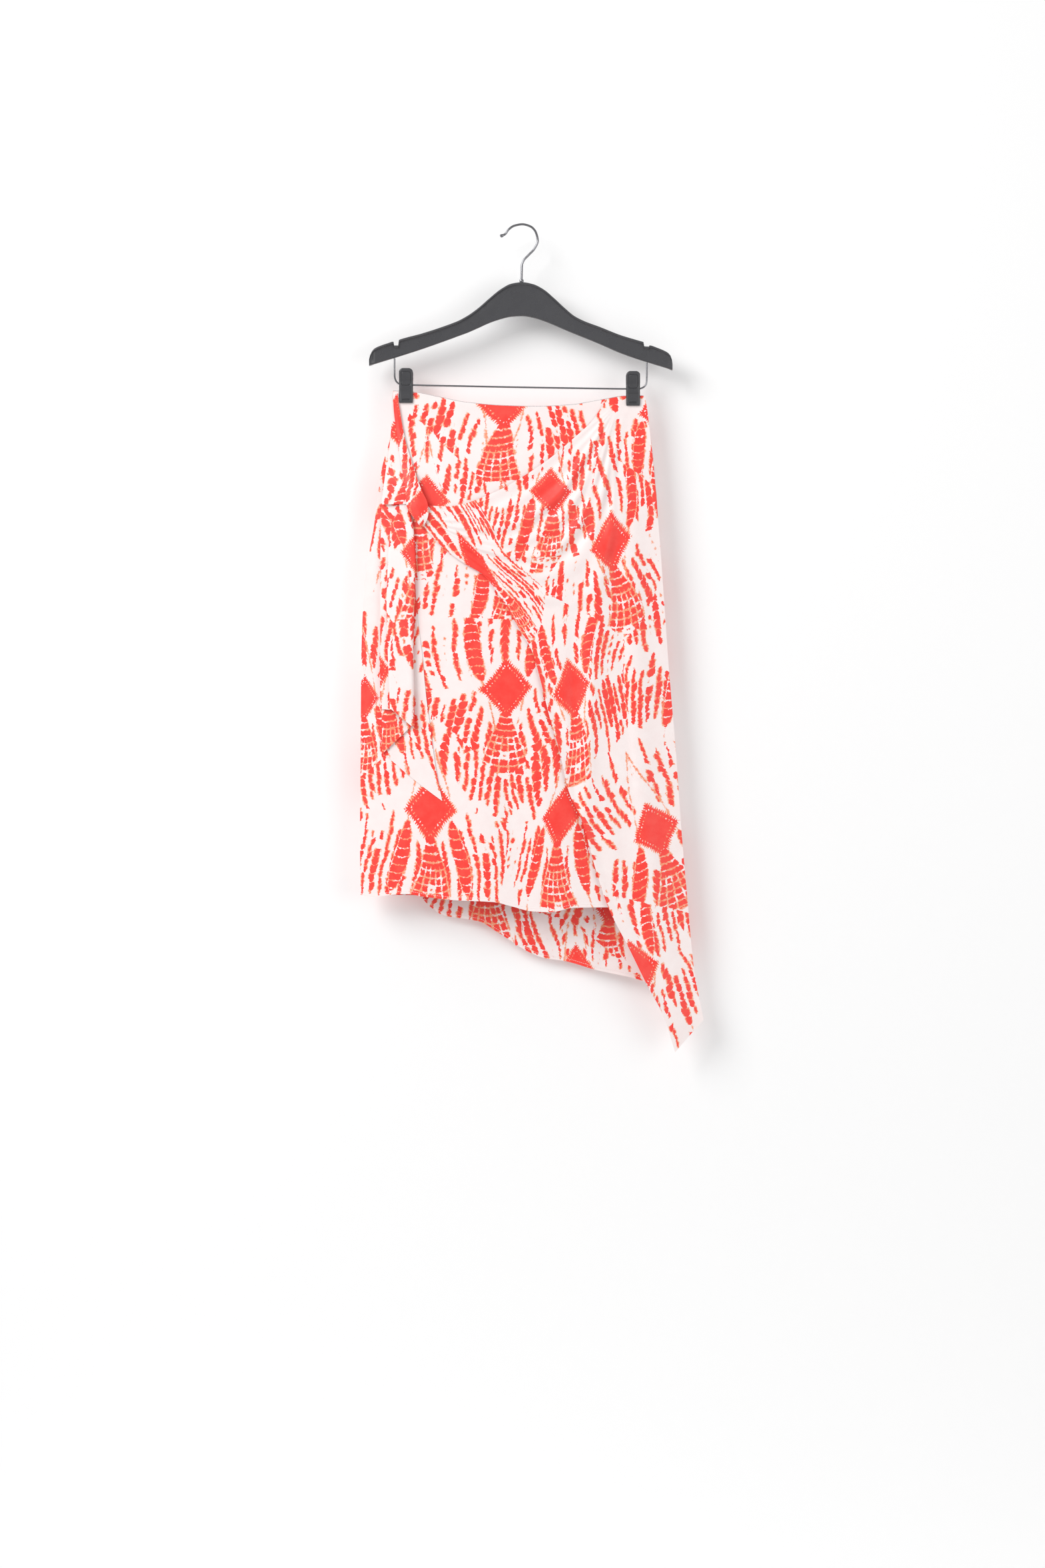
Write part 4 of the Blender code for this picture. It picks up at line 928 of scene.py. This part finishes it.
class SKIRT_OT_front_under(bpy.types.Operator):
    """Make the front panel that lies under the wrap"""
    bl_idname = "skirt.front_under"
    bl_label = "Front Panel"

    def execute(self, context):
        share = np.linspace(0.0, 1.0, 180)
        x, z, from_hem = hung_grid(share, hem_rows(190, 710.0), FRONT_HEM, left_side, right_side)
        rim = 1.0 - np.abs(across(x, z)) ** 10
        relief = rim * crease_height(UNDER_CREASES, x, z) + hem_relief(from_hem)
        depth = front_outer(x, z) + RELIEF * relief
        piece = cloth_shell(
            "front_panel", place(x, depth, z, -1.0), place(x, depth - cloth_wall(), z, -1.0),
            np.stack([x, z], axis=-1), silk("silk_front", FRONT_MOTIFS),
        )
        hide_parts("front_under")
        stitches = stitch_row("front_hem_stitches", place(x, depth, z, -1.0)[STITCH_ROW], -1.0,
                              thread_and_shade_strip("polyester_thread_front", "#F0CFCB"))
        # A dark strip just inside the front's waist edge and rising above it: painted shade, the shadow line
        # where the front meets the back.
        level = z[0][None, :] + np.linspace(0.9, -5.0, 4)[:, None]
        inner = depth[0][None, :] - cloth_wall() - SHADE_STRIP_LAY + 0.0 * level
        wide = x[0][None, :] + 0.0 * level
        shade_strip = cloth_shell(
            "waist_tape", place(wide, inner, level, -1.0), place(wide, inner - STRIP_THICK, level, -1.0), None,
            thread_and_shade_strip("woven_waist_tape", "#4A2A2A"),
        )
        return {"FINISHED"}


def back_outer(x, z):
    """Depth of the back's outer face, with its creases."""
    rim = 1.0 - np.abs(across(x, z)) ** 10
    return back_inner(x, z) + cloth_wall() + rim * (crease_height(BACK_CREASES, x, z) + 0.6)


class SKIRT_OT_backs(bpy.types.Operator):
    """Make the two halves of the back"""
    bl_idname = "skirt.backs"
    bl_label = "Back Panels"

    def execute(self, context):
        def seam_left(z):
            return np.full(np.shape(z), CENTRE_SEAM_X - 0.05)

        def seam_right(z):
            return np.full(np.shape(z), CENTRE_SEAM_X + 0.05)

        thread = thread_and_shade_strip("polyester_thread_back", "#F0CFCB")
        # The two halves are cut apart, so the print breaks at the centre seam by the shift of the right half.
        for name, solid, start, end, flat, area, shift in (
            ("back_panel_left", "back_left", left_side, seam_left, (0.24, 0.81), 0.163, (0.0, 0.0)),
            ("back_panel_right", "back_right", seam_right, right_side, (0.27, 0.90), 0.184, SEAM_SHIFT),
        ):
            share = np.linspace(0.0, 1.0, 110)
            x, z, from_hem = hung_grid(share, hem_rows(200, 760.0), BACK_HEM, start, end)
            z = z + 1.6 * ease((z + 300.0) / 40.0) * np.clip(1.0 - (x / 130.0) ** 2, 0.0, 1.0)
            seam = 0.5 * np.exp(-(((x - CENTRE_SEAM_X) / 1.3) ** 2))
            depth = back_outer(x, z) - seam + RELIEF * hem_relief(from_hem)
            outer = place(x, depth, z, 1.0)
            inner = place(x, depth - cloth_wall(), z, 1.0)
            made = silk("silk_" + solid, BACK_MOTIFS)
            piece = cloth_shell(name, outer, inner, np.stack([x, z], axis=-1) + shift, made)
            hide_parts(solid)
            trims = [stitch_row(solid + "_hem_stitches", outer[STITCH_ROW], 1.0, thread),
                     stitch_row(solid + "_hem_stitches_inside", inner[STITCH_ROW], -1.0, thread)]
            if solid == "back_left":
                foot = look_up(BACK_HEM, "x", "level", np.array([-5.0]))[0] + 1.0
                level = np.linspace(-256.0, foot, 240)[:, None] + np.zeros((1, 9))
                wide = np.linspace(-10.6, -1.1, 9)[None, :] + 0.0 * level
                near = back_outer(wide, level) - cloth_wall() - SEAM_LAY
                strip = cloth_shell("seam_allowance", place(wide, near, level, 1.0),
                                    place(wide, near - STRIP_THICK, level, 1.0),
                                    np.stack([wide, level], axis=-1) + SEAM_SHIFT, made)
                trims.append(strip)
        return {"FINISHED"}


def along(points, share):
    """Points at even shares of the length of a smooth line through the given points."""
    xs, zs = column(points, "x"), column(points, "level")
    lengths = np.concatenate([[0.0], np.cumsum(np.hypot(np.diff(xs), np.diff(zs)))])
    lengths /= lengths[-1]
    return hermite(lengths, xs, share), hermite(lengths, zs, share)


def wrap_grid(rows, cols):
    """Points of the wrap: rows fan out from the knot to the right side."""
    row = np.linspace(0.0, 1.0, rows)
    left_x, left_z = along(OVER_LEFT, hermite(column(OVER_ROWS, "row"), column(OVER_ROWS, "left"), row))
    right_x, right_z = along(OVER_RIGHT, hermite(column(OVER_ROWS, "row"), column(OVER_ROWS, "right"), row))
    t = np.linspace(0.0, 1.0, cols) ** 1.15
    x = left_x[:, None] + t[None, :] * (right_x - left_x)[:, None]
    z = left_z[:, None] + t[None, :] * (right_z - left_z)[:, None]
    top_x, top_z = along(OVER_TOP, t)
    blend = np.clip(1.0 - row / 0.6, 0.0, 1.0)[:, None]
    x = x + blend * (top_x - x[0])[None, :]
    z = z + blend * (top_z - z[0])[None, :]
    return x, z


class SKIRT_OT_wrap(bpy.types.Operator):
    """Make the wrap that is gathered into the knot"""
    bl_idname = "skirt.wrap"
    bl_label = "Wrap"

    def execute(self, context):
        x, z = wrap_grid(230, 170)
        from_edge = np.hypot(x - x[:, :1], z - z[:, :1])
        right = look_up(SIDES, "level", "right", z)
        calm = ease((right - x) / 14.0)
        depth = over_outer(x, z, from_edge) + calm * crease_height(WRAP_CREASES, x, z)
        piece = cloth_shell(
            "wrap_panel", place(x, depth, z, -1.0), place(x, depth - cloth_wall(), z, -1.0),
            np.stack([x, z], axis=-1), silk("silk_wrap", WRAP_MOTIFS),
        )
        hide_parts("front_over")
        return {"FINISHED"}


def strip_grid(table, rows, cols):
    """Points of a strip that lies on the front panel, and its place across from -1 to 1."""
    z = np.linspace(table[0].level, table[-1].level, rows)[:, None]
    s = np.linspace(-1.0, 1.0, cols)[None, :]
    left = look_up(table, "level", "left", z)
    right = look_up(table, "level", "right", z)
    x = left + (s + 1.0) / 2.0 * (right - left)
    return x, z + 0.0 * x, s + 0.0 * x


class SKIRT_OT_tab_and_band(bpy.types.Operator):
    """Make the tab at the hip and the band round the knot"""
    bl_idname = "skirt.tab_and_band"
    bl_label = "Tab and Band"

    def execute(self, context):
        x, z, s = strip_grid(TAB, 150, 32)
        depth = front_outer(x, z) + look_up(TAB, "level", "offset", z) + WALL
        tab = cloth_shell(
            "tab", place(x, depth, z, -1.0), place(x, depth - cloth_wall(), z, -1.0),
            np.stack([x, z], axis=-1), silk("silk_tab", TAB_MOTIFS),
        )
        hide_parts("hip_tab")
        x, z, s = strip_grid(BAND, 190, 40)
        dome = BAND_DOME * (1.0 - s * s) * (0.6 + 0.4 * np.cos(3.0 * s)) * ease((-250.0 - z) / 60.0)
        depth = front_outer(x, z) + look_up(BAND, "level", "offset", z) + dome + WALL
        band = cloth_shell(
            "band", place(x, depth, z, -1.0), place(x, depth - cloth_wall(), z, -1.0),
            np.stack([x, z], axis=-1), silk("silk_band", BAND_MOTIFS),
        )
        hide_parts("knot_band")
        return {"FINISHED"}


def tail_columns(per_layer, per_fold):
    """The tail's section as a walk along its layers and round its folds: (kind, layer, share or turn)."""
    walk = []
    for layer in range(5):
        walk += [("layer", layer, share) for share in np.linspace(0.0, 1.0, per_layer)]
        if layer < 4:
            walk += [("fold", layer, turn) for turn in np.linspace(0.0, math.pi, per_fold + 2)[1:-1]]
    return walk


def tail_point(entry, z):
    """Middle of the tail's wall for one entry of the walk, at the given levels."""
    kind, layer, share = entry
    step = TAIL_STEP_TOP + (TAIL_STEP_LOW - TAIL_STEP_TOP) * ease((TAIL_TOP - z) / 300.0)
    edges = [look_up(TAIL, "level", name, z) for name in Drop._fields[1:]]
    height = [(4 - place_back) * step + TAIL_GAP + WALL / 2.0 for place_back in TAIL_ORDER]
    bulge = (1.0, -1.0, 1.0, -1.0)

    def centre(k):
        if k in (0, 5):
            return edges[k]
        return edges[k] - bulge[k - 1] * np.abs(height[k] - height[k - 1]) / 2.0

    if kind == "layer":
        return centre(layer) + share * (centre(layer + 1) - centre(layer)), height[layer]
    radius = np.abs(height[layer + 1] - height[layer]) / 2.0
    middle = (height[layer] + height[layer + 1]) / 2.0
    sign = 1.0 if TAIL_ORDER[layer] < TAIL_ORDER[layer + 1] else -1.0
    return centre(layer + 1) + bulge[layer] * radius * np.sin(share), middle + sign * radius * np.cos(share)


class SKIRT_OT_tail(bpy.types.Operator):
    """Make the folded tail that hangs from the knot"""
    bl_idname = "skirt.tail"
    bl_label = "Tail"

    def execute(self, context):
        walk = tail_columns(LAYER_COLUMNS, TURN_COLUMNS)
        v = hem_rows(130, 330.0)
        hems = [getattr(TAIL_HEM, name) for name in Drop._fields[1:]]
        x = np.zeros((len(v), len(walk)))
        z = np.zeros_like(x)
        out = np.zeros_like(x)
        for j, entry in enumerate(walk):
            kind, layer, share = entry
            hem = hems[layer + 1] if kind == "fold" else hems[layer] + share * (hems[layer + 1] - hems[layer])
            z[:, j] = TAIL_TOP + v * (hem - TAIL_TOP)
            x[:, j], out[:, j] = tail_point(entry, z[:, j])
        flat = front_outer(x, z)
        middle = place(x, flat + out, z, -1.0)
        tangent = np.gradient(np.stack([x, -(flat + out)], axis=-1), axis=1)
        tangent /= np.linalg.norm(tangent, axis=-1, keepdims=True)
        normal = np.stack([tangent[..., 1], -tangent[..., 0], np.zeros_like(x)], axis=-1)
        walked = np.cumsum(np.hypot(np.diff(x, axis=1, prepend=x[:, :1]),
                                    np.diff(out, axis=1, prepend=out[:, :1])), axis=1)
        flap_edge = 2 * (LAYER_COLUMNS + TURN_COLUMNS) + LAYER_COLUMNS - 1
        uv = np.stack([walked - walked[:, flap_edge, None] + FLAP_EDGE_U, z], axis=-1)
        half = cloth_wall() / 2.0
        made = silk("silk_tail", TAIL_MOTIFS)
        piece = cloth_shell("tail_folds", middle + normal * half, middle - normal * half, uv, made)
        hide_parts("tail")
        return {"FINISHED"}


def moulded_plastic(name, colour, roughness, grit, depth):
    """Injection-moulded plastic: an even dark body whose gloss has the very fine pebble of its mould."""
    made, tree, shader = new_material(name)
    spot = node(tree, "ShaderNodeTexCoord", out=3)
    pebble = node(tree, "ShaderNodeTexNoise", spot, None, 1.0 / grit, 2.0, 0.5)
    wear = node(tree, "ShaderNodeTexNoise", spot, None, 60.0, 3.0, 0.6)
    shade = node(tree, "ShaderNodeMix", extra={0: wear, 6: linear(colour[0]), 7: linear(colour[1])},
                 out=2, data_type="RGBA")
    tree.links.new(shade, shader.inputs["Base Color"])
    gloss = node(tree, "ShaderNodeMapRange", wear, 0.3, 0.7, roughness - 0.05, roughness + 0.07)
    tree.links.new(gloss, shader.inputs["Roughness"])
    tree.links.new(node(tree, "ShaderNodeBump", 0.25, depth, None, pebble), shader.inputs["Normal"])
    shader.inputs["IOR"].default_value = 1.5
    return made


def plated_steel(name, roughness):
    """Bright nickel-plated wire, drawn along its length, so its gloss is a little uneven."""
    made, tree, shader = new_material(name)
    spot = node(tree, "ShaderNodeTexCoord", out=3)
    drawn = node(tree, "ShaderNodeTexNoise", spot, None, 900.0, 2.0, 0.6)
    shade = node(tree, "ShaderNodeMix", extra={0: drawn, 6: linear("#77777B"), 7: linear("#98989B")},
                 out=2, data_type="RGBA")
    tree.links.new(shade, shader.inputs["Base Color"])
    gloss = node(tree, "ShaderNodeMapRange", drawn, 0.3, 0.7, roughness, roughness + 0.1)
    tree.links.new(gloss, shader.inputs["Roughness"])
    shader.inputs["Metallic"].default_value = 1.0
    return made


def arm_rings():
    """Sections of the hanger from tip to tip: a web with a rounded lip along its top."""
    knots = column(ARMS, "x")
    x = np.unique(np.concatenate([
        np.linspace(a, b, 2 + int((b - a) / ARM_SPACING)) for a, b in zip(knots, knots[1:])
    ]))
    top, low, half = (look_up(ARMS, "x", name, x) for name in ("top", "low", "half"))
    lip = np.minimum(LIP, (top - low) * 0.45)
    flange = FLANGE + 0.0 * x
    side = [
        (flange - 2.2, top), (flange - 0.9, top - 0.25), (flange - 0.2, top - 0.8), (flange, top - 1.5),
        (flange, top - lip + 0.5), (flange - 0.5, top - lip - 0.1), (half + 0.5, top - lip - 0.7),
        (half, top - lip - 1.5), (half, low + 1.7), (half - 0.3, low + 0.7), (half - 1.2, low),
    ]
    both = side + [(-y, z) for y, z in reversed(side)]
    return np.stack([np.stack([x, y, z], axis=-1) for y, z in both], axis=1)


def wire_rings(table, around, spacing):
    """Rings of a round wire along a smooth line in the plane of the hanger."""
    xs, zs, radii = (column(table, name) for name in ("x", "z", "radius"))
    lengths = np.concatenate([[0.0], np.cumsum(np.hypot(np.diff(xs), np.diff(zs)))])
    marks = np.unique(np.concatenate([
        np.linspace(a, b, 2 + int((b - a) / spacing)) for a, b in zip(lengths[:-1], lengths[1:])
    ]))
    px, pz = hermite(lengths, xs, marks), hermite(lengths, zs, marks)
    radius = hermite(lengths, radii, marks)
    tx, tz = np.gradient(px, marks), np.gradient(pz, marks)
    norm = np.hypot(tx, tz)
    nx, nz = -tz / norm, tx / norm
    angle = np.linspace(0.0, 2.0 * math.pi, around, endpoint=False)[None, :]
    return np.stack([
        px[:, None] + radius[:, None] * np.cos(angle) * nx[:, None],
        radius[:, None] * np.sin(angle) + 0.0 * px[:, None],
        pz[:, None] + radius[:, None] * np.cos(angle) * nz[:, None],
    ], axis=-1)


class SKIRT_OT_hanger(bpy.types.Operator):
    """Make the moulded hanger, its hook and its rod"""
    bl_idname = "skirt.hanger"
    bl_label = "Hanger"

    def execute(self, context):
        plastic = moulded_plastic("polystyrene_moulded", ("#444447", "#48484B"), 0.27, 0.0011, 0.00005)
        body = ring_tube("hanger_arms", arm_rings(), plastic)
        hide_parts("hanger_body")
        for name, solid, table, spacing in (("hook_wire", "hook", HOOK, 1.2), ("rod_wire", "rod", ROD, 2.5)):
            steel = plated_steel("nickel_plated_" + solid, 0.14)
            wire = ring_tube(name, wire_rings(table, WIRE_SIDES, spacing), steel)
            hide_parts(solid)
        return {"FINISHED"}


def box_distance(x, z, middle, half_x, half_z, radius):
    """Distance outside a rounded rectangle, below 0 inside it."""
    dx = np.abs(x) - half_x + radius
    dz = np.abs(z - middle) - half_z + radius
    return np.hypot(np.maximum(dx, 0.0), np.maximum(dz, 0.0)) + np.minimum(np.maximum(dx, dz), 0.0) - radius


class SKIRT_OT_clips(bpy.types.Operator):
    """Make the jaws of the two clips"""
    bl_idname = "skirt.clips"
    bl_label = "Clips"

    def execute(self, context):
        plastic = moulded_plastic("abs_moulded", ("#3D3D40", "#434346"), 0.34, 0.0009, 0.00005)
        z = np.linspace(0.0, -48.4, 150)[:, None]
        s = np.linspace(-1.0, 1.0, 64)[None, :]
        half, inner, thick = (look_up(JAW, "level", name, z) for name in ("half", "inner", "thick"))
        x = s * half
        rounded = (1.0 - np.abs(s) ** 7) ** 0.5
        pad = box_distance(x, z, -14.6, 6.6, 9.6, 3.2)
        groove = -0.75 * np.exp(-((pad / 0.55) ** 2)) + 0.35 * ease(-pad / 1.4)
        slot = -1.1 * ease(0.5 - box_distance(x, z, -44.2, 5.4, 0.9, 0.8) / 0.6)
        for name, at, side, grip in (
            ("clip_left_front", CLIP_LEFT, -1.0, 1.55), ("clip_left_rear", CLIP_LEFT, 1.0, 1.55),
            ("clip_right_front", CLIP_RIGHT, -1.0, RIGHT_GRIP), ("clip_right_rear", CLIP_RIGHT, 1.0, 1.55),
        ):
            held = inner + (grip - inner).clip(0.0) * (z < -32.0)
            relief = (groove + slot) if side < 0.0 else 0.25 * np.cos(z * 2.4) * (np.abs(z + 20.0) < 9.0)
            outer = held + thick * (0.35 + 0.65 * rounded) + relief
            jaw = cloth_shell(
                name + "_jaw", place(at.x + x, outer + 0.0 * x, at.level + z + 0.0 * x, side),
                place(at.x + x, held + 0.0 * x, at.level + z + 0.0 * x, side), None, plastic,
            )
            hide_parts(name)
        return {"FINISHED"}


class SKIRT_OT_stage(bpy.types.Operator):
    """Make the pale floor, the soft lights and the camera"""
    bl_idname = "skirt.stage"
    bl_label = "Stage"

    def execute(self, context):
        scene = context.scene
        scene.view_settings.view_transform = "Standard"
        paper, tree, shader = new_material("matt_white_paper")
        shader.inputs["Base Color"].default_value = linear("#FCFCFC")
        shader.inputs["Roughness"].default_value = 0.95
        # Its far side is clear and it stops no light, so the skirt's back is lit and can be looked at.
        facing = node(tree, "ShaderNodeNewGeometry", out=6)
        passing = node(tree, "ShaderNodeLightPath", out=1)
        open_side = node(tree, "ShaderNodeMath", facing, passing, operation="MAXIMUM")
        clear = node(tree, "ShaderNodeBsdfTransparent")
        seen = node(tree, "ShaderNodeMixShader", open_side, shader.outputs[0], clear)
        tree.links.new(seen, tree.nodes["Material Output"].inputs[0])
        angle = np.linspace(0.0, 2.0 * math.pi, 64, endpoint=False)
        disc = np.stack([1.35 * np.cos(angle), 1.35 * np.sin(angle), -2.25 + 0.0 * angle], axis=-1)
        wall = np.array([(-1.5, 0.04, -2.25), (1.5, 0.04, -2.25), (1.5, 0.04, 0.75), (-1.5, 0.04, 0.75)])
        for name, corners in (("floor", disc), ("backdrop", wall)):
            mesh = bpy.data.meshes.new(name)
            mesh.from_pydata(corners.tolist(), [], [tuple(range(len(corners)))])
            mesh.materials.append(paper)
            sheet = bpy.data.objects.new(name, mesh)
            scene.collection.objects.link(sheet)
        world = bpy.data.worlds.new("studio")
        world.use_nodes = True
        sky = world.node_tree
        direct = node(sky, "ShaderNodeLightPath", out=0)
        strength = node(sky, "ShaderNodeMapRange", direct, 0.0, 1.0, 0.56, 1.0)
        sky.nodes["Background"].inputs["Color"].default_value = linear("#FFFFFF")
        sky.links.new(strength, sky.nodes["Background"].inputs["Strength"])
        scene.world = world
        for name, spot, size, power in (
            ("key", (-2.3, -2.4, 1.3), 2.3, 88.0), ("fill", (2.4, -2.6, -0.6), 2.2, 22.0),
            ("rim", (0.4, 2.6, 0.6), 1.8, 22.0),
        ):
            light = bpy.data.lights.new(name, "AREA")
            light.shape = "DISK"
            light.size = size
            light.energy = power
            lamp = bpy.data.objects.new(name, light)
            lamp.location = spot
            aim = np.array(LIT_MIDDLE) - np.array(spot)
            down = math.atan2(math.hypot(aim[0], aim[1]), -aim[2])
            lamp.rotation_euler = (down, 0.0, math.atan2(-aim[0], aim[1]))
            scene.collection.objects.link(lamp)
        camera = bpy.data.cameras.new("camera")
        camera.sensor_fit = "VERTICAL"
        camera.sensor_height = 36.0
        camera.lens = 36.0 * CAMERA_AWAY / FRAME_HEIGHT
        seen = bpy.data.objects.new("camera", camera)
        seen.location = (FRAME_MIDDLE[0], -CAMERA_AWAY, FRAME_MIDDLE[1])
        seen.rotation_euler = (math.pi / 2.0, 0.0, 0.0)
        scene.collection.objects.link(seen)
        scene.camera = seen
        return {"FINISHED"}


class SKIRT_PT_panel(bpy.types.Panel):
    """The skirt's buttons in the sidebar"""
    bl_label = "Wrap Skirt"
    bl_idname = "SKIRT_PT_panel"
    bl_space_type = "VIEW_3D"
    bl_region_type = "UI"
    bl_category = "Skirt"

    def draw(self, context):
        for maker in MAKERS:
            self.layout.operator(maker.bl_idname)
        for size in ("wall", "stitch", "pitch", "thread"):
            self.layout.prop(context.scene.skirt_sizes, size)


MAKERS = (
    SKIRT_OT_front_under, SKIRT_OT_backs, SKIRT_OT_wrap, SKIRT_OT_tab_and_band, SKIRT_OT_tail,
    SKIRT_OT_hanger, SKIRT_OT_clips, SKIRT_OT_stage,
)
CLASSES = (SkirtSizes, SkirtColours) + MAKERS + (SKIRT_PT_panel,)


def register():
    """Register the classes and hang the properties on the scene."""
    for made in CLASSES:
        bpy.utils.register_class(made)
    bpy.types.Scene.skirt_sizes = PointerProperty(type=SkirtSizes)
    bpy.types.Scene.skirt_colours = PointerProperty(type=SkirtColours)


def unregister():
    """Take the properties and the classes away again."""
    del bpy.types.Scene.skirt_colours
    del bpy.types.Scene.skirt_sizes
    for made in reversed(CLASSES):
        bpy.utils.unregister_class(made)


def main():
    """Make every piece in order."""
    register()
    bpy.ops.skirt.front_under()
    bpy.ops.skirt.backs()
    bpy.ops.skirt.wrap()
    bpy.ops.skirt.tab_and_band()
    bpy.ops.skirt.tail()
    bpy.ops.skirt.hanger()
    bpy.ops.skirt.clips()
    bpy.ops.skirt.stage()


if __name__ == "__main__":
    main()
